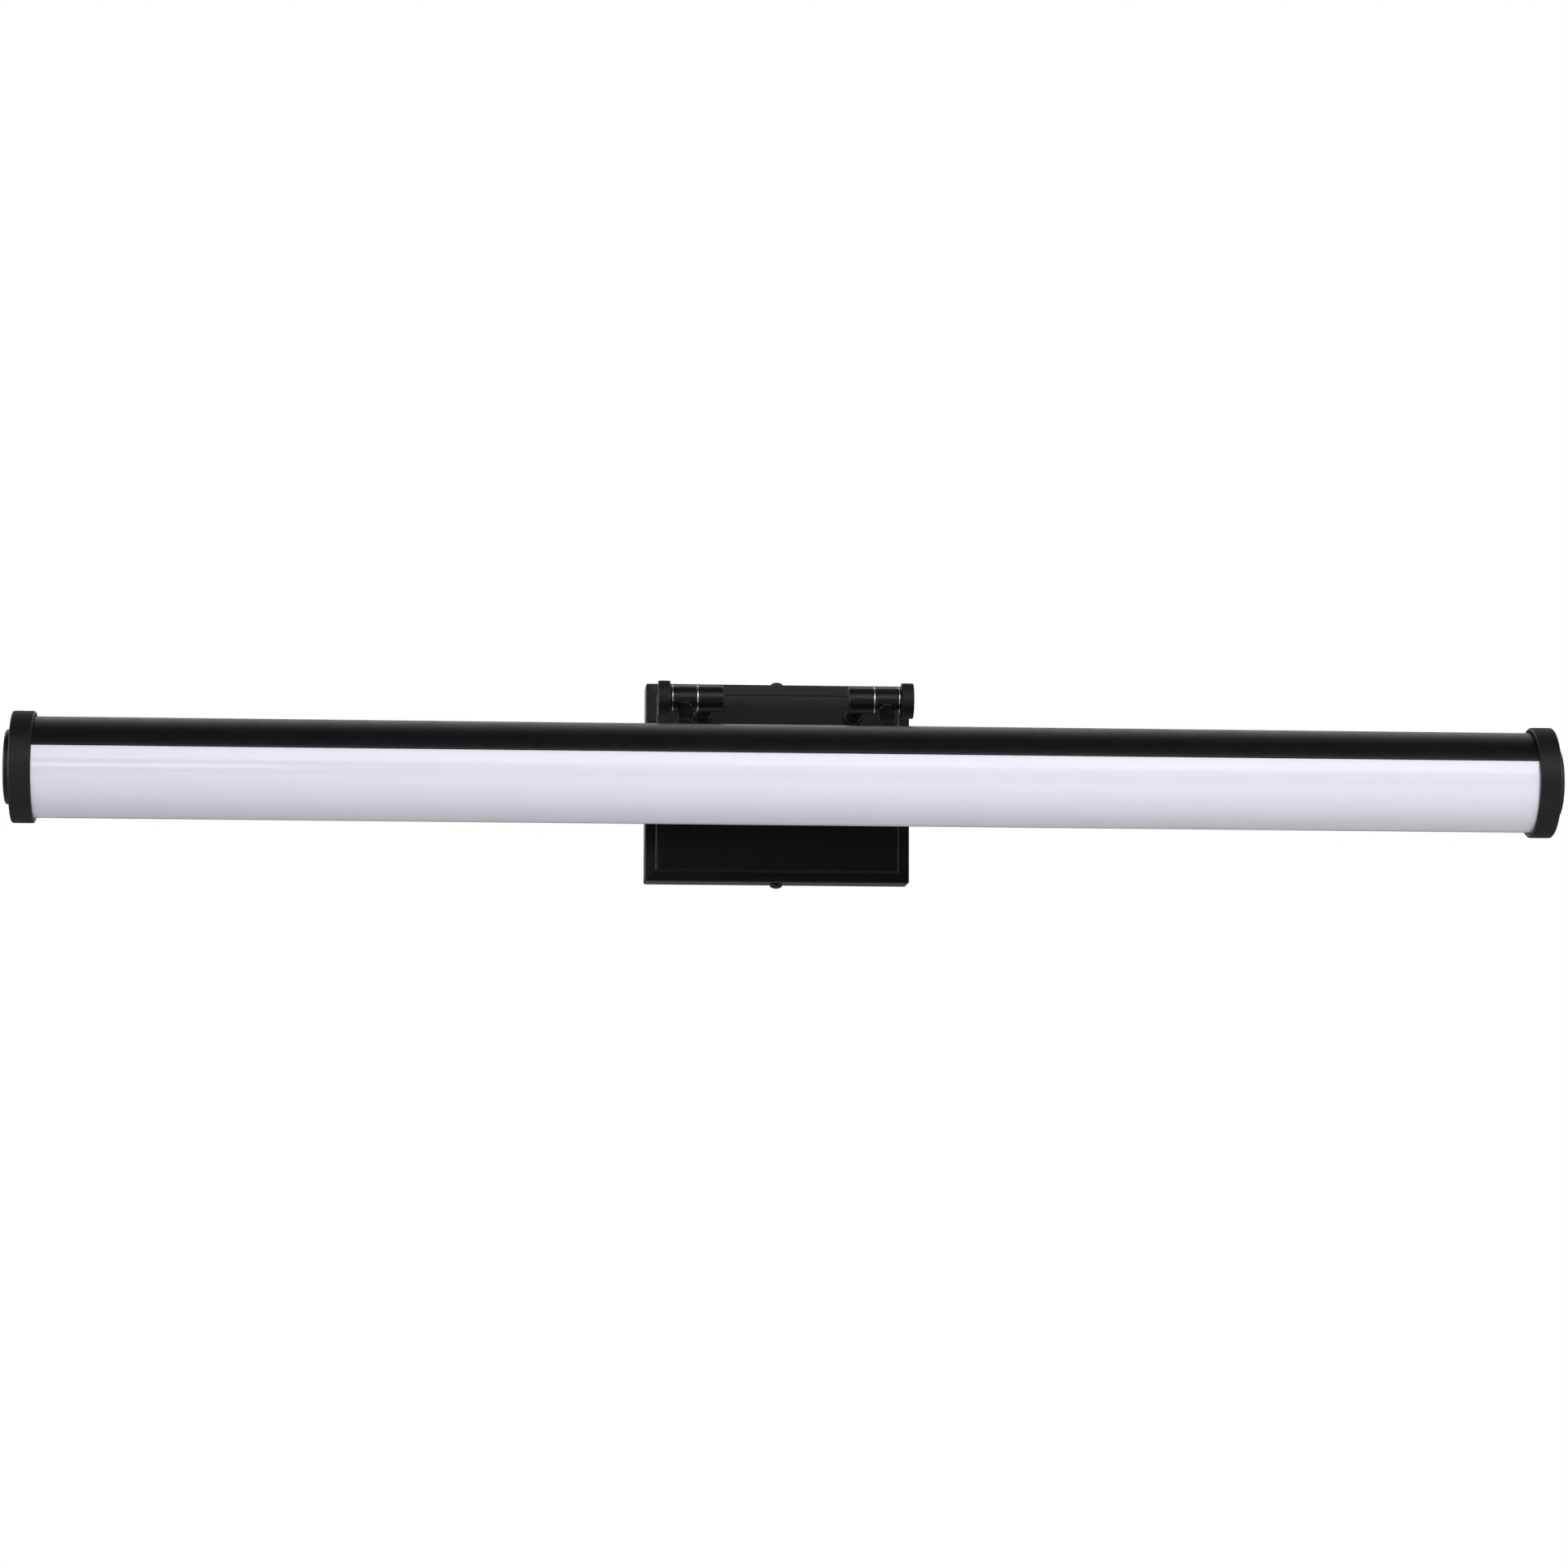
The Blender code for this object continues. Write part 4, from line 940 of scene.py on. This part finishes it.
def make_world():
    """A white studio: white to the camera and behind and above the light, dim everywhere else."""
    world = bpy.data.worlds.new("studio")
    bpy.context.scene.world = world
    world.use_nodes = True
    nodes = world.node_tree.nodes
    links = world.node_tree.links
    place = nodes.new("ShaderNodeTexCoord").outputs["Generated"]
    parts = nodes.new("ShaderNodeSeparateXYZ")
    links.new(place, parts.inputs[0])

    def fade(axis, start, end, low):
        """Rises smoothly from low to 1 as one coordinate of the direction goes from start to end."""
        node = nodes.new("ShaderNodeMapRange")
        node.interpolation_type = "SMOOTHSTEP"
        node.inputs["From Min"].default_value = start
        node.inputs["From Max"].default_value = end
        node.inputs["To Min"].default_value = low
        links.new(parts.outputs[axis], node.inputs["Value"])
        return node.outputs["Result"]

    glow = nodes.new("ShaderNodeMath")
    glow.operation = "MULTIPLY"
    links.new(fade("Y", start=0.12, end=0.70, low=0.08), glow.inputs[0])
    links.new(fade("Z", start=0.00, end=0.22, low=0.07), glow.inputs[1])
    seen = nodes.new("ShaderNodeLightPath").outputs["Is Camera Ray"]
    strength = nodes.new("ShaderNodeMix")
    links.new(seen, strength.inputs["Factor"])
    links.new(glow.outputs["Value"], strength.inputs["A"])
    strength.inputs["B"].default_value = 1.0
    background = nodes["Background"]
    background.inputs["Color"].default_value = (1.0, 1.0, 1.0, 1.0)
    links.new(strength.outputs["Result"], background.inputs["Strength"])


def make_floor():
    """A wide pale floor well below the light."""
    sides = 128
    bm = bmesh.new()
    for i in range(sides):
        angle = math.tau * i / sides
        bm.verts.new((FLOOR_REACH * math.cos(angle), FLOOR_REACH * math.sin(angle), FLOOR_Z))
    bm.faces.new(bm.verts)
    floor = mesh_object("floor", bm)
    paint = Paint("pale_floor", 0.7)
    paint.colour(paint.blend(paint.noise(2.0, 3.0), (0.86, 0.86, 0.86), (0.90, 0.90, 0.90)))
    floor.data.materials.append(paint.material)


def make_lights():
    """Soft light from the camera's side, and three sources that only show as reflections."""
    middle = tuple(TUBE_CENTRE)
    area_light("softbox", (0.35, -2.13, 1.15), middle, width=2.4, height=1.2, power=23.0)
    fill = area_light("fill", (0.30, -2.0, 0.55), middle, width=1.2, height=0.9, power=16.5)
    fill.visible_glossy = False
    left_end = (-0.40, -0.13, 0.0)
    panel = area_light("left_panel", (-0.85, -2.0, 0.01), left_end, width=1.0, height=0.26, power=3.2)
    panel.visible_diffuse = False
    canopy = (0.0, PANEL_Y, 0.0)
    for name, x, power in (("left_strip", -1.7, 24.0), ("right_strip", 1.7, 16.0)):
        strip = area_light(name, (x, -0.45, 0.15), canopy, width=0.16, height=1.1, power=power)
        strip.visible_diffuse = False


# ---- Assembly -------------------------------------------------------------------------------


def main():
    make_camera()
    make_canopy()
    make_canopy_screws()
    make_tube()
    for side, sign in SIDES.items():
        make_end_ring(side, sign)
        make_end_disc(side, sign)
        make_knob(side, sign)
        make_knuckle(side, sign)
        make_arm_foot(side, sign)
    for name, node in frame["nodes"].items():
        node.data.materials.clear()
        node.data.materials.append(MATERIALS[NODE_SLOT[name]])
    make_world()
    make_floor()
    make_lights()
    bpy.context.scene.view_settings.view_transform = "Standard"


main()
